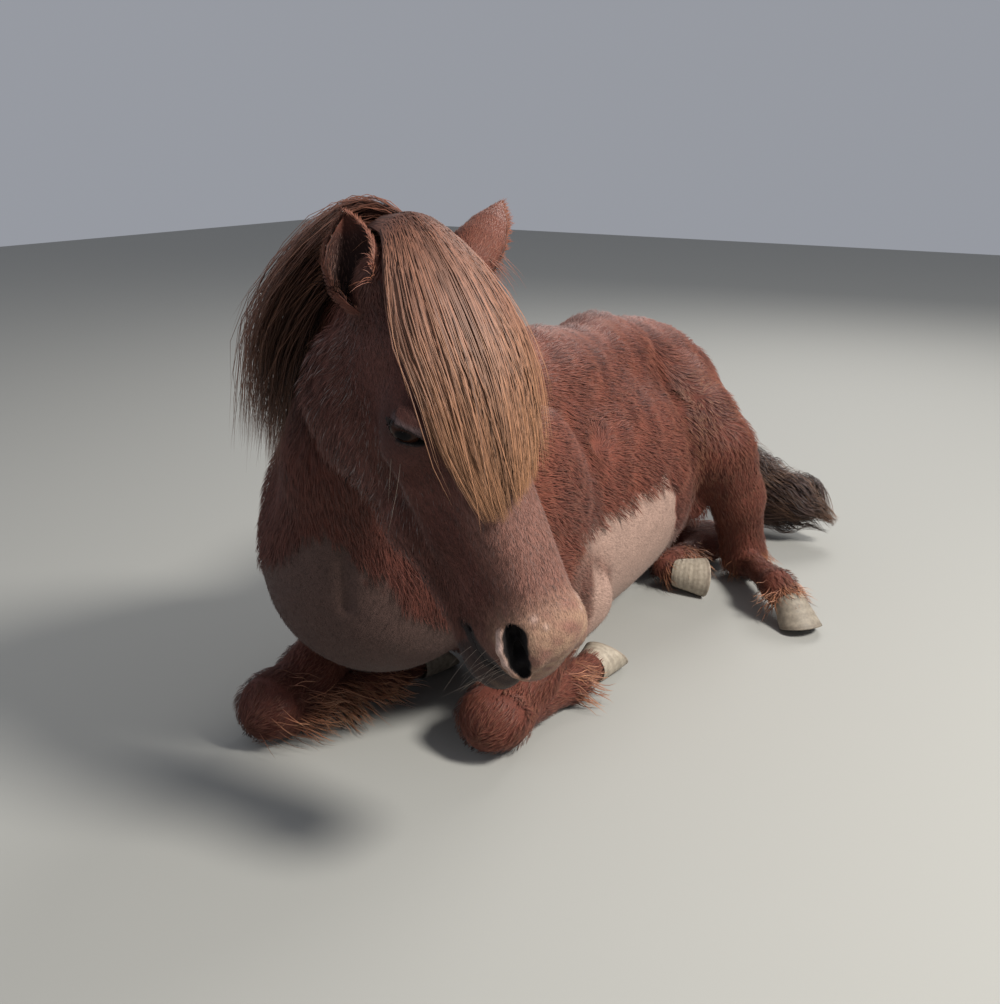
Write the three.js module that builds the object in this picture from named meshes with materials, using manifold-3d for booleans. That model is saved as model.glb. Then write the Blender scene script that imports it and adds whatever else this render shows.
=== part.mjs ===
// A life-size Shetland pony lying on its chest, forelegs folded under it, hind legs out to its left, head low and
// turned to its left, as a museum would show it. The pony faces -Y, its left is +X, and the floor is at z = 0.
// Flesh is modelled as smoothly joined round cones and ellipsoids, meshed whole and then parted with thin cuts.

import * as THREE from "three";
import { mergeVertices } from "three/addons/utils/BufferGeometryUtils.js";
import Module from "manifold-3d";

const wasm = await Module();
wasm.setup();

// Driving dimensions, in millimetres
const PART_GAP = 0.5; // left between neighbouring pieces
const CLEARANCE = 2.5; // kept between the legs or the hair and the flesh they lie against
const EYE_RADIUS = 20;
const EAR_WALL = 5;
const HOOF_LENGTH = 58;
const HOOF_RADIUS = 37; // at the sole

// Grid step of each meshed surface and the number of triangles it is then thinned to
const TORSO_MESH = [28, 2500];
const HEAD_MESH = [11, 2400];
const UPPER_LEG_MESH = [18, 210];
const LOWER_LEG_MESH = [12, 220];
const FORELOCK_MESH = [13, 520];
const MANE_MESH = [17, 540];
const TAIL_MESH = [20, 300];

// Small vector helpers
const add = (a, b) => [a[0] + b[0], a[1] + b[1], a[2] + b[2]];
const sub = (a, b) => [a[0] - b[0], a[1] - b[1], a[2] - b[2]];
const scale = (a, s) => [a[0] * s, a[1] * s, a[2] * s];
const dot = (a, b) => a[0] * b[0] + a[1] * b[1] + a[2] * b[2];
const length = (a) => Math.hypot(a[0], a[1], a[2]);
const unit = (a) => scale(a, 1 / length(a));
const mix = (a, b, t) => add(scale(a, 1 - t), scale(b, t));

// The head's own frame: x runs down the face from the poll, y to the pony's left of the face, z out of the forehead
const POLL = [204, -660, 702];
const HEAD_X = unit([0.467, -0.025, -0.885]);
const HEAD_Y0 = [0.173, 0.983, 0.07];
const HEAD_Z = unit(cross(HEAD_X, HEAD_Y0));
const HEAD_Y = cross(HEAD_Z, HEAD_X);

function cross(a, b) {
  return [a[1] * b[2] - a[2] * b[1], a[2] * b[0] - a[0] * b[2], a[0] * b[1] - a[1] * b[0]];
}

function inHead(x, y, z) {
  return add(POLL, add(scale(HEAD_X, x), add(scale(HEAD_Y, y), scale(HEAD_Z, z))));
}

// Distance fields. Each shape is a function from a point to its rough distance outside the surface.

// A cone with round ends, from a to b, with radius ra at a and rb at b
function limb(a, b, ra, rb) {
  const ba = sub(b, a);
  const l2 = dot(ba, ba);
  return (p) => {
    const pa = sub(p, a);
    const t = Math.min(1, Math.max(0, dot(pa, ba) / l2));
    return length(sub(pa, scale(ba, t))) - (ra + (rb - ra) * t);
  };
}

// An ellipsoid about centre, with radii along three axes that default to the pony's own
function lump(centre, radii, axes) {
  return (p) => {
    const d = sub(p, centre);
    const q = axes ? axes.map((axis) => dot(d, axis)) : d;
    const r = Math.hypot(q[0] / radii[0], q[1] / radii[1], q[2] / radii[2]);
    return r < 1e-6 ? -Math.min(...radii) : length(d) * (1 - 1 / r);
  };
}

// Axes turned by roll about Y: a positive roll leans the top to the pony's right
function rolled(degrees) {
  const a = THREE.MathUtils.degToRad(degrees);
  return [[Math.cos(a), 0, Math.sin(a)], [0, 1, 0], [-Math.sin(a), 0, Math.cos(a)]];
}

const HEAD_AXES = [HEAD_X, HEAD_Y, HEAD_Z];

// Smooth union of two distances, rounded over about k
function join(a, b, k) {
  const h = Math.max(k - Math.abs(a - b), 0) / k;
  return Math.min(a, b) - h * h * k * 0.25;
}

// Cuts b out of a with a rounded rim
function carve(a, b, k) {
  return -join(-a, b, k);
}

function joined(shapes, k) {
  return (p) => shapes.reduce((d, shape) => join(d, shape(p), k), 1e6);
}

// Trunk
const trunk = joined([
  lump([-12, -110, 244], [182, 330, 246], rolled(8)), // rib cage
  lump([-30, 90, 236], [200, 280, 222], rolled(20)), // belly
  lump([-18, -420, 285], [178, 170, 180]), // breast
  lump([-30, -490, 235], [150, 110, 130]), // brisket front
  lump([120, -330, 290], [75, 150, 185]), // left shoulder
  lump([-145, -375, 290], [75, 155, 190]), // right shoulder
  limb([-12, -300, 430], [-25, -60, 424], 80, 86), // withers
  limb([-25, -60, 424], [-48, 180, 412], 86, 90), // back
  limb([-48, 180, 412], [-50, 310, 390], 90, 92), // loin
  lump([-55, 360, 320], [150, 175, 152], rolled(18)), // croup
  limb([-66, 450, 315], [-66, 505, 262], 80, 66), // buttocks
  limb([10, 360, 300], [140, 292, 262], 118, 74), // left thigh
  limb([0, 330, 352], [104, 296, 318], 92, 66), // left hip
  limb([-130, 400, 190], [-100, 262, 92], 118, 76), // right thigh
  limb([20, 240, 170], [118, 270, 150], 60, 30), // groin
], 60);

// Neck, from the shoulders to the poll
const neck = joined([
  limb([-20, -330, 445], [45, -470, 590], 64, 46), // crest
  limb([45, -470, 590], [120, -570, 668], 46, 40),
  limb([120, -570, 668], [196, -638, 680], 40, 34),
  limb([-40, -430, 345], [12, -520, 478], 138, 92), // body of the neck
  limb([12, -520, 478], [100, -592, 606], 92, 66),
  limb([100, -592, 606], [175, -632, 654], 66, 50),
  limb([-35, -495, 275], [12, -570, 425], 108, 70), // underside
  limb([12, -570, 425], [120, -628, 590], 70, 46),
], 46);

// Head
const bothSides = (make) => [1, -1].map(make);
const skull = joined([
  lump(inHead(62, 0, -58), [88, 60, 60], HEAD_AXES), // cranium
  lump(inHead(125, 0, -40), [92, 70, 46], HEAD_AXES), // forehead
  ...bothSides((s) => limb(inHead(150, 10 * s, -50), inHead(390, 12 * s, -40), 47, 31)), // nasal bridge
  ...bothSides((s) => limb(inHead(220, 8 * s, -92), inHead(380, 10 * s, -78), 44, 37)), // upper jaw
  ...bothSides((s) => lump(inHead(163, 62 * s, -45), [38, 24, 30], HEAD_AXES)), // orbits
  ...bothSides((s) => limb(inHead(178, 60 * s, -70), inHead(275, 42 * s, -80), 20, 13)), // facial crests
  ...bothSides((s) => lump(inHead(112, 46 * s, -130), [84, 30, 78], HEAD_AXES)), // cheeks
  ...bothSides((s) => limb(inHead(105, 38 * s, -165), inHead(250, 26 * s, -140), 34, 32)), // lower jaw
  ...bothSides((s) => limb(inHead(250, 20 * s, -138), inHead(395, 12 * s, -120), 31, 28)),
], 30);
const muzzle = joined([
  lump(inHead(393, 0, -58), [44, 47, 44], HEAD_AXES), // muzzle
  lump(inHead(421, 0, -74), [29, 38, 28], HEAD_AXES), // upper lip
  lump(inHead(414, 0, -128), [39, 38, 30], HEAD_AXES), // chin
  ...bothSides((s) => lump(inHead(404, 33 * s, -42), [27, 13, 20], HEAD_AXES)), // nostril wings
], 16);
const nostrils = joined(bothSides((s) => lump(inHead(408, 47 * s, -42), [19, 12, 8], HEAD_AXES)), 1);

function headField(p) {
  return carve(join(skull(p), muzzle(p), 22), nostrils(p), 8);
}

// Legs: joints in order from the top, with the flesh radius at each
const LEGS = {
  fore_left: {
    upper: [[[115, -300, 230], 80], [[122, -185, 140], 60], [[134, -330, 78], 42], [[137, -424, 51], 53]],
    lower: [[[140, -410, 36], 32], [[152, -250, 28], 33], [[152, -190, 30], 31]],
  },
  fore_right: {
    upper: [[[-135, -380, 230], 80], [[-150, -300, 140], 60], [[-142, -480, 74], 42], [[-138, -564, 49], 51]],
    lower: [[[-132, -550, 36], 32], [[-92, -385, 28], 33], [[-82, -325, 30], 31]],
  },
  hind_left: {
    upper: [[[150, 290, 258], 76], [[176, 325, 170], 54], [[190, 352, 44], 45]],
    lower: [[[196, 342, 44], 30], [[302, 218, 54], 32], [[326, 200, 46], 29]],
  },
  hind_right: {
    upper: [[[-100, 262, 90], 76], [[0, 340, 60], 50], [[98, 394, 40], 42]],
    lower: [[[98, 380, 40], 29], [[82, 236, 42], 30], [[106, 230, 33], 28]],
  },
};

function chain(joints, k) {
  return joined(joints.slice(1).map((j, i) => limb(joints[i][0], j[0], joints[i][1], j[1])), k);
}

const headAndNeck = (p) => join(neck(p), headField(p), 34);
const torso = (p) => join(trunk(p), headAndNeck(p), 70);

// Hair
const CREST = [[162, -604, 702], [110, -552, 686], [52, -474, 636], [12, -395, 568], [-18, -310, 505]];
const MANE_FALL = [[0, 0, 0], [-60, -34, 4], [-120, -86, -92], [-134, -104, -225]];
const mane = joined(CREST.map((root, i) => {
  const path = MANE_FALL.map((step) => add(root, step));
  return joined([0, 1, 2].map((m) => limb(path[m], path[m + 1], 32 - 2 * m, [38, 34, 18][m])), 30);
}), 90);

// Forelock strands in the head's frame, from the one beside the right eye to the one over the left eye
const FORELOCK = [
  [[-26, -6, -38], [11, -34, -24], [78, -57, -22], [143, -65, -10], [208, -61, -16], [276, -43, -18]],
  [[-30, 4, -26], [18, -16, -4], [90, -30, 8], [155, -34, 10], [220, -34, 2], [284, -32, -8]],
  [[-30, 16, -20], [28, 12, 6], [95, 8, 18], [160, 2, 20], [222, -6, 10], [274, -18, 0]],
  [[-26, 30, -20], [32, 44, 4], [92, 58, 8], [150, 56, 8], [206, 42, -2], [258, 14, 0]],
  [[-20, 42, -24], [38, 62, -8], [90, 80, -6], [145, 84, -12], [196, 68, -16], [242, 32, -8]],
];
const forelock = joined(FORELOCK.map((strand) => {
  const path = strand.map((q) => inHead(...q));
  return joined([0, 1, 2, 3, 4].map((m) => limb(path[m], path[m + 1], 18 - 1.6 * m, 16.4 - 1.6 * m)), 14);
}), 26);

const TAIL = [[[-62, 500, 345], 50], [[-40, 586, 268], 56], [[30, 622, 160], 66], [[122, 610, 96], 78],
  [[200, 604, 84], 70], [[246, 606, 70], 50]];
const tail = chain(TAIL, 30);

// Each grid cell is six tetrahedra, one for each order in which its three edge directions lead from corner to corner
const CELL_PATHS = [[1, 2, 1], [2, 4, 1], [4, 1, 1], [2, 1, -1], [4, 2, -1], [1, 4, -1]];

// For each set of a tetrahedron's corners that lies inside, its corners in an order that starts with the smaller set
const CORNER_ORDERS = [null, [0, 1, 2, 3], [1, 0, 3, 2], [0, 1, 2, 3], [2, 0, 1, 3], [0, 2, 3, 1], [1, 2, 0, 3],
  [3, 0, 2, 1], [3, 0, 2, 1], [0, 3, 1, 2], [1, 3, 2, 0], [2, 0, 1, 3], [2, 3, 0, 1], [1, 0, 3, 2], [0, 1, 2, 3], null];

// Meshes a field's zero level inside a box. What would run out of the box is closed off just inside it.
function levelMesh(field, low, high, [step, target]) {
  const n = [0, 1, 2].map((k) => Math.ceil((high[k] - low[k]) / step) + 1);
  const at = (i, j, k) => (k * n[1] + j) * n[0] + i;
  const values = new Float32Array(n[0] * n[1] * n[2]);
  const rim = (i, axis) => i < 2 || i > n[axis] - 3;
  const corner = (i, j, k) => [low[0] + i * step, low[1] + j * step, low[2] + k * step];
  for (let k = 0; k < n[2]; k++)
    for (let j = 0; j < n[1]; j++)
      for (let i = 0; i < n[0]; i++) {
        const value = field(corner(i, j, k));
        values[at(i, j, k)] = rim(i, 0) || rim(j, 1) || rim(k, 2) ? Math.max(value, 1) : value;
      }
  const points = [];
  const known = new Map();
  const faces = [];
  for (let k = 0; k < n[2] - 1; k++)
    for (let j = 0; j < n[1] - 1; j++)
      for (let i = 0; i < n[0] - 1; i++) {
        const places = Array.from({ length: 8 }, (_, c) => [i + (c & 1), j + ((c >> 1) & 1), k + (c >> 2)]);
        const inside = places.map((q) => values[at(...q)] < 0);
        if (inside.every((v) => v === inside[0])) continue;
        const crossing = (a, b) => {
          const [c, d] = a < b ? [a, b] : [b, a];
          const key = at(...places[c]) * 8 + (d - c);
          if (!known.has(key)) {
            const [vc, vd] = [values[at(...places[c])], values[at(...places[d])]];
            const t = Math.min(0.9, Math.max(0.1, vc / (vc - vd)));
            known.set(key, points.length);
            points.push(mix(corner(...places[c]), corner(...places[d]), t));
          }
          return known.get(key);
        };
        for (const [first, second, sense] of CELL_PATHS)
          faces.push(...tetraFaces([0, first, first + second, 7], inside, crossing, sense));
      }
  return thinned(points, faces, target);
}

function tetraFaces(corners, inside, crossing, sense) {
  const mask = corners.reduce((sum, c, i) => sum + (inside[c] ? 1 << i : 0), 0);
  if (!CORNER_ORDERS[mask]) return [];
  const [a, b, c, d] = CORNER_ORDERS[mask].map((i) => corners[i]);
  const count = corners.filter((v) => inside[v]).length;
  if (count === 2) {
    const quad = [crossing(a, c), crossing(a, d), crossing(b, d), crossing(b, c)];
    if (sense < 0) quad.reverse();
    return [[quad[0], quad[1], quad[2]], [quad[0], quad[2], quad[3]]];
  }
  const face = [crossing(a, b), crossing(a, c), crossing(a, d)];
  if ((count === 3) !== (sense < 0)) face.reverse();
  return [face];
}

// Collapses the edges that change the surface least until about target triangles are left
function thinned(points, faces, target) {
  while (faces.length > target) {
    const before = faces.length;
    faces = collapsePass(points, faces, Math.max(target, Math.floor(before * 0.8)));
    if (faces.length === before) break;
  }
  return toManifold(new Float32Array(points.flat()), new Uint32Array(faces.flat()));
}

function collapsePass(points, faces, target) {
  const around = points.map(() => []);
  faces.forEach((face, i) => face.forEach((v) => around[v].push(i)));
  const planes = faces.map((face) => {
    const normal = cross(sub(points[face[1]], points[face[0]]), sub(points[face[2]], points[face[0]]));
    const area = length(normal);
    const n = area > 0 ? scale(normal, 1 / area) : [0, 0, 0];
    return [n, -dot(n, points[face[0]]), area];
  });
  const error = (v, p) => around[v].reduce((sum, i) => sum + planes[i][2] * (dot(planes[i][0], p) + planes[i][1]) ** 2, 0);
  const edges = [];
  for (const face of faces)
    for (let e = 0; e < 3; e++) {
      const [a, b] = [face[e], face[(e + 1) % 3]];
      if (a > b) continue;
      const span = length(sub(points[a], points[b]));
      const place = [0.5, 0.2, 0.8].map((t) => mix(points[a], points[b], t));
      const costs = place.map((p) => error(a, p) + error(b, p) + 0.003 * span ** 4);
      const best = costs.indexOf(Math.min(...costs));
      edges.push([costs[best], a, b, place[best]]);
    }
  edges.sort((p, q) => p[0] - q[0]);
  const touched = new Uint8Array(points.length);
  const gone = new Uint8Array(faces.length);
  let left = faces.length;
  for (const [, a, b, p] of edges) {
    if (left <= target) break;
    if (touched[a] || touched[b]) continue;
    const ringOf = (v) => new Set(around[v].flatMap((i) => faces[i]));
    const ringB = ringOf(b);
    const shared = [...ringOf(a)].filter((v) => v !== a && v !== b && ringB.has(v));
    if (shared.length !== 2) continue;
    const kept = [...around[a], ...around[b]].filter((i) => !(faces[i].includes(a) && faces[i].includes(b)));
    const flips = kept.some((i) => {
      const q = faces[i].map((v) => (v === a || v === b ? p : points[v]));
      const normal = cross(sub(q[1], q[0]), sub(q[2], q[0]));
      return dot(normal, planes[i][0]) < 0.3 * length(normal);
    });
    if (flips) continue;
    for (const i of [...around[a], ...around[b]]) {
      faces[i].forEach((v) => (touched[v] = 1));
      if (faces[i].includes(a) && faces[i].includes(b)) gone[i] = 1;
    }
    kept.forEach((i) => (faces[i] = faces[i].map((v) => (v === b ? a : v))));
    points[a] = p;
    left -= 2;
  }
  return faces.filter((_, i) => !gone[i]);
}

function toManifold(vertProperties, triVerts) {
  return new wasm.Manifold(new wasm.Mesh({ numProp: 3, vertProperties, triVerts }));
}

function fromGeometry(geometry) {
  geometry.deleteAttribute("normal");
  geometry.deleteAttribute("uv");
  const merged = mergeVertices(geometry, 1e-3);
  return toManifold(merged.attributes.position.array, new Uint32Array(merged.index.array));
}

function toGeometry(solid) {
  const mesh = solid.getMesh();
  const geometry = new THREE.BufferGeometry();
  geometry.setAttribute("position", new THREE.BufferAttribute(new Float32Array(mesh.vertProperties), 3));
  geometry.setIndex(new THREE.BufferAttribute(mesh.triVerts, 1));
  geometry.computeVertexNormals();
  return geometry;
}


// Everything on one side of a plane through point, facing normal, as a big block
function halfSpace(point, normal, offset = 0) {
  const geometry = new THREE.BoxGeometry(4000, 4000, 4000).toNonIndexed();
  geometry.translate(0, 0, 2000 + offset);
  const turn = new THREE.Quaternion().setFromUnitVectors(new THREE.Vector3(0, 0, 1), new THREE.Vector3(...unit(normal)));
  geometry.applyQuaternion(turn);
  geometry.translate(...point);
  return fromGeometry(geometry);
}

const FLOOR_UP = halfSpace([0, 0, 0], [0, 0, 1]);
const NECK_CUT = [[-40, -395, 390], [0.36, -0.62, 0.7]];
const THROAT_CUT = [[100, -627, 575], [0.9, -0.27, -0.32]];
const BREAST_CUT = [[80, -650, 430], [0.93, -0.25, 0.27]];

const inFront = ([point, normal], gap = PART_GAP) => halfSpace(point, normal, gap / 2);
const behind = ([point, normal]) => halfSpace(point, scale(normal, -1), PART_GAP / 2);
const headSide = (gap) => inFront(THROAT_CUT, gap).intersect(inFront(BREAST_CUT, gap));

// A solid and the same solid a little larger, which is what its neighbours are cut with
function withGrown(exact) {
  const geometry = toGeometry(exact);
  const normals = geometry.attributes.normal.array;
  const vertices = geometry.attributes.position.array.map((v, i) => v + normals[i] * PART_GAP);
  return { exact, grown: toManifold(vertices, geometry.index.array) };
}

const solidFrom = (field, box, meshing) => withGrown(levelMesh(field, ...box, meshing));

// A field kept clear of another one
const clearOf = (field, other) => (p) => Math.max(field(p), CLEARANCE - other(p));

function without(solid, ...others) {
  return others.reduce((left, other) => left.subtract(other.grown).subtract(other.exact), solid);
}

// The largest of a solid's separate pieces, welded where its corners meet
function main(solid) {
  let pieces = solid.decompose();
  do {
    solid = pieces.sort((a, b) => b.volume() - a.volume())[0];
    pieces = fromGeometry(toGeometry(solid)).decompose();
  } while (pieces.length > 1);
  return solid;
}

function boxAround(points, margin) {
  const low = [0, 1, 2].map((k) => Math.min(...points.map((p) => p[k])) - margin);
  const high = [0, 1, 2].map((k) => Math.max(...points.map((p) => p[k])) + margin);
  return [low, high];
}

// Eyes
function ball(centre, radius, segments) {
  const geometry = new THREE.SphereGeometry(radius, segments, segments / 2);
  geometry.translate(...centre);
  return fromGeometry(geometry);
}

const EYE_CENTRES = { left: inHead(162, 66, -40), right: inHead(162, -66, -40) };

// Skins a stack of equal rings, each with an even count of points, closed by a ladder of faces at both ends
function stack(rings) {
  const count = rings[0].length;
  const positions = rings.flat(2);
  const index = [];
  for (let r = 0; r + 1 < rings.length; r++)
    for (let i = 0; i < count; i++) {
      const a = r * count + i;
      const b = r * count + ((i + 1) % count);
      index.push(a, b, b + count, a, b + count, a + count);
    }
  const last = (rings.length - 1) * count;
  for (let i = 0; i < count / 2 - 1; i++) {
    const rung = [i, i + 1, count - 2 - i, count - 1 - i];
    if (i + 1 < count - 2 - i) {
      index.push(rung[0], rung[3], rung[1], last + rung[0], last + rung[1], last + rung[3]);
      index.push(rung[1], rung[3], rung[2], last + rung[1], last + rung[2], last + rung[3]);
    }
  }
  return toManifold(new Float32Array(positions), new Uint32Array(index));
}

// An ear is a leaf rolled about its axis, open towards one side
const EAR_WIDTHS = [[-0.2, 22], [0.05, 29], [0.3, 33], [0.6, 26], [0.85, 14], [1, 3]];
const EAR_ARC = [-1, -0.5, 0, 0.5, 1];

function ear(base, tip, opening) {
  const axis = unit(sub(tip, base));
  const open = unit(sub(opening, scale(axis, dot(opening, axis))));
  const side = cross(open, axis);
  const rings = EAR_WIDTHS.map(([t, width]) => {
    const centre = add(mix(base, tip, t), scale(open, width * 0.35 * t));
    const spread = 2.3 - 0.9 * Math.max(t, 0);
    const wall = Math.min(EAR_WALL, width * 0.5);
    const edge = (r) => EAR_ARC.map((u) =>
      add(centre, add(scale(side, r * Math.sin(u * spread)), scale(open, -r * Math.cos(u * spread)))));
    return [...edge(width), ...edge(width - wall).reverse()];
  });
  return stack(rings);
}

const EARS = {
  left: ear([203, -580, 668], [200, -497, 734], [0.2, 0.95, 0.1]),
  right: ear([152, -690, 654], [108, -656, 724], [0.45, -0.9, 0.1]),
};

// A hoof from the coronet down its axis, with its front wall on the dorsal side and its sole slanted to the axis
function hoof(coronet, axis, dorsal, slant) {
  const down = unit(axis);
  const front = unit(sub(dorsal, scale(down, dot(dorsal, down))));
  const side = cross(down, front);
  const rings = [[0, 28, 0.1], [0.5, 32, 0.55], [1, HOOF_RADIUS, 1]].map(([t, radius, turn]) => {
    const angle = THREE.MathUtils.degToRad(slant * turn);
    const ahead = add(scale(front, Math.cos(angle)), scale(down, Math.sin(angle)));
    const centre = add(coronet, scale(down, HOOF_LENGTH * 0.8 * t));
    return Array.from({ length: 12 }, (_, i) => {
      const a = (i / 12) * 2 * Math.PI;
      const reach = radius * (Math.cos(a) > 0 ? 1.1 : 0.86);
      return add(centre, add(scale(ahead, reach * Math.cos(a)), scale(side, radius * Math.sin(a))));
    });
  });
  return stack(rings);
}

const HOOVES = {
  fore_left: hoof([152, -178, 30], [0, 1, 0.04], [0, 0, -1], 38),
  fore_right: hoof([-79, -314, 30], [0.15, 1, 0.04], [0, 0, -1], 38),
  hind_left: hoof([330, 198, 39], [0.66, -0.44, -0.75], [0.75, -0.5, 0.6], 30),
  hind_right: hoof([112, 230, 33], [1, 0.08, 0.02], [0.1, -1, 0.25], 38),
};

const coat = (color) => new THREE.MeshStandardMaterial({ color, roughness: 0.9 });
const CHESTNUT = coat(0x6b3a2c);
const DARK_COAT = coat(0x4a2a22);
const FLAXEN = coat(0xa67c5e);
const TAIL_BROWN = coat(0x3f322e);
const HORN = coat(0xbfae98);
const EYE_BROWN = new THREE.MeshStandardMaterial({ color: 0x20130d, roughness: 0.2 });

const pony = new THREE.Group();

function place(name, solid, material) {
  const mesh = new THREE.Mesh(toGeometry(main(solid.intersect(FLOOR_UP))), material);
  mesh.name = name;
  pony.add(mesh);
}

const headBox = boxAround([inHead(-20, 90, 30), inHead(-20, -90, -160), inHead(480, 60, 20), inHead(480, -60, -160),
  inHead(120, 0, -240)], 70);
const torsoBox = [[-400, -860, -80], [420, 700, 880]];
const headSolid = solidFrom(torso, headBox, HEAD_MESH);
const torsoSolid = solidFrom(torso, torsoBox, TORSO_MESH);
const headless = torsoSolid.exact.subtract(headSide(-PART_GAP));
const flesh = [torsoSolid, headSolid];
const eyes = {};
for (const [side, centre] of Object.entries(EYE_CENTRES)) eyes[side] = withGrown(ball(centre, EYE_RADIUS, 14));
place("head", without(headSolid.exact.intersect(headSide(PART_GAP)), eyes.left, eyes.right), CHESTNUT);
place("neck", headless.intersect(inFront(NECK_CUT)), CHESTNUT);
place("trunk", headless.intersect(behind(NECK_CUT)), CHESTNUT);
for (const side of ["left", "right"]) {
  place(`eye_${side}`, eyes[side].exact, EYE_BROWN);
  place(`ear_${side}`, without(EARS[side], ...flesh), CHESTNUT);
}

for (const [name, leg] of Object.entries(LEGS)) {
  const upperField = chain(leg.upper, 30);
  const lowerField = clearOf(chain(leg.lower, 14), (p) => Math.min(upperField(p), torso(p)));
  const upper = solidFrom(clearOf(upperField, torso), boxAround(leg.upper.map((j) => j[0]), 140), UPPER_LEG_MESH);
  const lower = solidFrom(lowerField, boxAround(leg.lower.map((j) => j[0]), 90), LOWER_LEG_MESH);
  place(`${name}_upper`, without(upper.exact, ...flesh), CHESTNUT);
  place(`${name}_lower`, without(lower.exact, ...flesh, upper), DARK_COAT);
  place(`${name}_hoof`, without(HOOVES[name], ...flesh, upper, lower), HORN);
}

const locks = solidFrom(clearOf(forelock, torso), boxAround(FORELOCK.flat().map((q) => inHead(...q)), 80), FORELOCK_MESH);
const maneBox = boxAround(CREST.flatMap((root) => MANE_FALL.map((step) => add(root, step))), 100);
const ears = Object.values(EARS).map(withGrown);
place("forelock", without(locks.exact, ...flesh, ...ears, ...Object.values(eyes)), FLAXEN);
const maneField = clearOf(mane, (p) => Math.min(torso(p), forelock(p)));
const tailBox = boxAround(TAIL.map((j) => j[0]), 140);
place("mane", without(solidFrom(maneField, maneBox, MANE_MESH).exact, ...flesh, ...ears, locks), FLAXEN);
place("tail", without(solidFrom(clearOf(tail, torso), tailBox, TAIL_MESH).exact, ...flesh), TAIL_BROWN);

// The frame's origin is on the floor, under the middle of the pony's box
const middle = new THREE.Box3().setFromObject(pony).getCenter(new THREE.Vector3());
pony.position.set(-middle.x, -middle.y, 0);

export default pony;
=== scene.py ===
"""A Shetland pony lying on its chest, with a coat, forelock, mane and tail of mesh hair."""
import math

import bpy
import numpy as np
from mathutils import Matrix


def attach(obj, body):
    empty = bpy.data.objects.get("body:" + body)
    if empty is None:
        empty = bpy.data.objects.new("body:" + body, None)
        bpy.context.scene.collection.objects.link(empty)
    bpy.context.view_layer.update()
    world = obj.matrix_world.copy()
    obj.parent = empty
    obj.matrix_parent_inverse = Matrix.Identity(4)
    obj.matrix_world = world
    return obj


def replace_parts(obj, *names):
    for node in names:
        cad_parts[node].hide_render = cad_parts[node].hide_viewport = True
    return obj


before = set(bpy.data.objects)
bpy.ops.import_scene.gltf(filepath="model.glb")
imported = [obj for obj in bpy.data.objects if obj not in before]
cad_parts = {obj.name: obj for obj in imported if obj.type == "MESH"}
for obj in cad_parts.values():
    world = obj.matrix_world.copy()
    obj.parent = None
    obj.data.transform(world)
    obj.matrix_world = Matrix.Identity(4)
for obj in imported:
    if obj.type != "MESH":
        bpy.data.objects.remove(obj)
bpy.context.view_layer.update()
RNG = np.random.default_rng(7)

# The pony was laid out in millimetres about another origin: the CAD centred it by this much
CENTRING = np.array([-75.393, 24.779, 0.0])


def row(points):
    """Layout millimetres to the frame's metres."""
    return (np.asarray(points, float) + CENTRING) / 1000


def unit(v):
    """Vectors scaled to length 1."""
    v = np.asarray(v, float)
    return v / np.maximum(np.linalg.norm(v, axis=-1, keepdims=True), 1e-9)


DOWN = np.array([0, 0, -1.0])

# The head's own frame: x runs down the face from the poll, y to the left of the face, z out of the forehead
POLL = np.array([204.0, -660.0, 702.0])
HEAD_X = unit([0.467, -0.025, -0.885])
HEAD_Z = unit(np.cross(HEAD_X, [0.173, 0.983, 0.07]))
HEAD_Y = np.cross(HEAD_Z, HEAD_X)
HEAD_AXES = np.stack([HEAD_X, HEAD_Y, HEAD_Z])


def in_head(x, y, z):
    """A place given in the head's frame."""
    return POLL + x * HEAD_X + y * HEAD_Y + z * HEAD_Z


def head_coords(points):
    """Layout points to the head's frame."""
    return (points - POLL) @ HEAD_AXES.T


def to_layout(h):
    """Points in the head's frame back to the layout."""
    return POLL + h @ HEAD_AXES


def rolled(degrees):
    """Axes turned about y."""
    a = math.radians(degrees)
    return np.array([[math.cos(a), 0, math.sin(a)], [0, 1, 0], [-math.sin(a), 0, math.cos(a)]])


# Distance fields over arrays of points, in layout millimetres. Each shape is (function, centre, reach),
# so that far shapes can be passed over.
def limb(a, b, ra, rb):
    """A rounded cone from a to b."""
    a, b = np.asarray(a, float), np.asarray(b, float)
    ba = b - a
    l2 = ba @ ba

    def distance(p):
        pa = p - a
        t = np.clip(pa @ ba / l2, 0, 1)
        return np.linalg.norm(pa - t[:, None] * ba, axis=1) - (ra + (rb - ra) * t)
    return distance, (a + b) / 2, math.sqrt(l2) / 2 + max(ra, rb)


def rope(path, ra, rb):
    """Limbs from point to point of a path."""
    return [limb(a, b, ra, rb) for a, b in zip(path, path[1:])]


def lump(centre, radii, axes=None):
    """An ellipsoid, turned to axes."""
    centre, radii = np.asarray(centre, float), np.asarray(radii, float)

    def distance(p):
        d = p - centre
        q = d if axes is None else d @ axes.T
        r = np.linalg.norm(q / radii, axis=1)
        return np.linalg.norm(d, axis=1) * (1 - 1 / np.maximum(r, 1e-3))

    return distance, centre, radii.max()


def join(a, b, k):
    """Smooth union of two distances, rounded over k."""
    h = np.maximum(k - np.abs(a - b), 0) / k
    return np.minimum(a, b) - h * h * k * 0.25


def joined(shapes, k):
    """Smooth union of shapes. For a batch of points, shapes that can't matter are passed over."""
    def distance(p):
        middle = (p.min(0) + p.max(0)) / 2
        half = np.linalg.norm(p.max(0) - middle)
        far = [np.linalg.norm(middle - s[1]) - s[2] for s in shapes]
        nearest = min(f + 2 * s[2] for f, s in zip(far, shapes))
        total = np.full(len(p), 1e4)
        for shape, gap in zip(shapes, far):
            if gap - half < nearest + half + k:
                total = join(total, shape[0](p), k)
        return total

    return distance


def both(make):
    """The same shape on the left and the right."""
    return [make(1), make(-1)]


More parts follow.
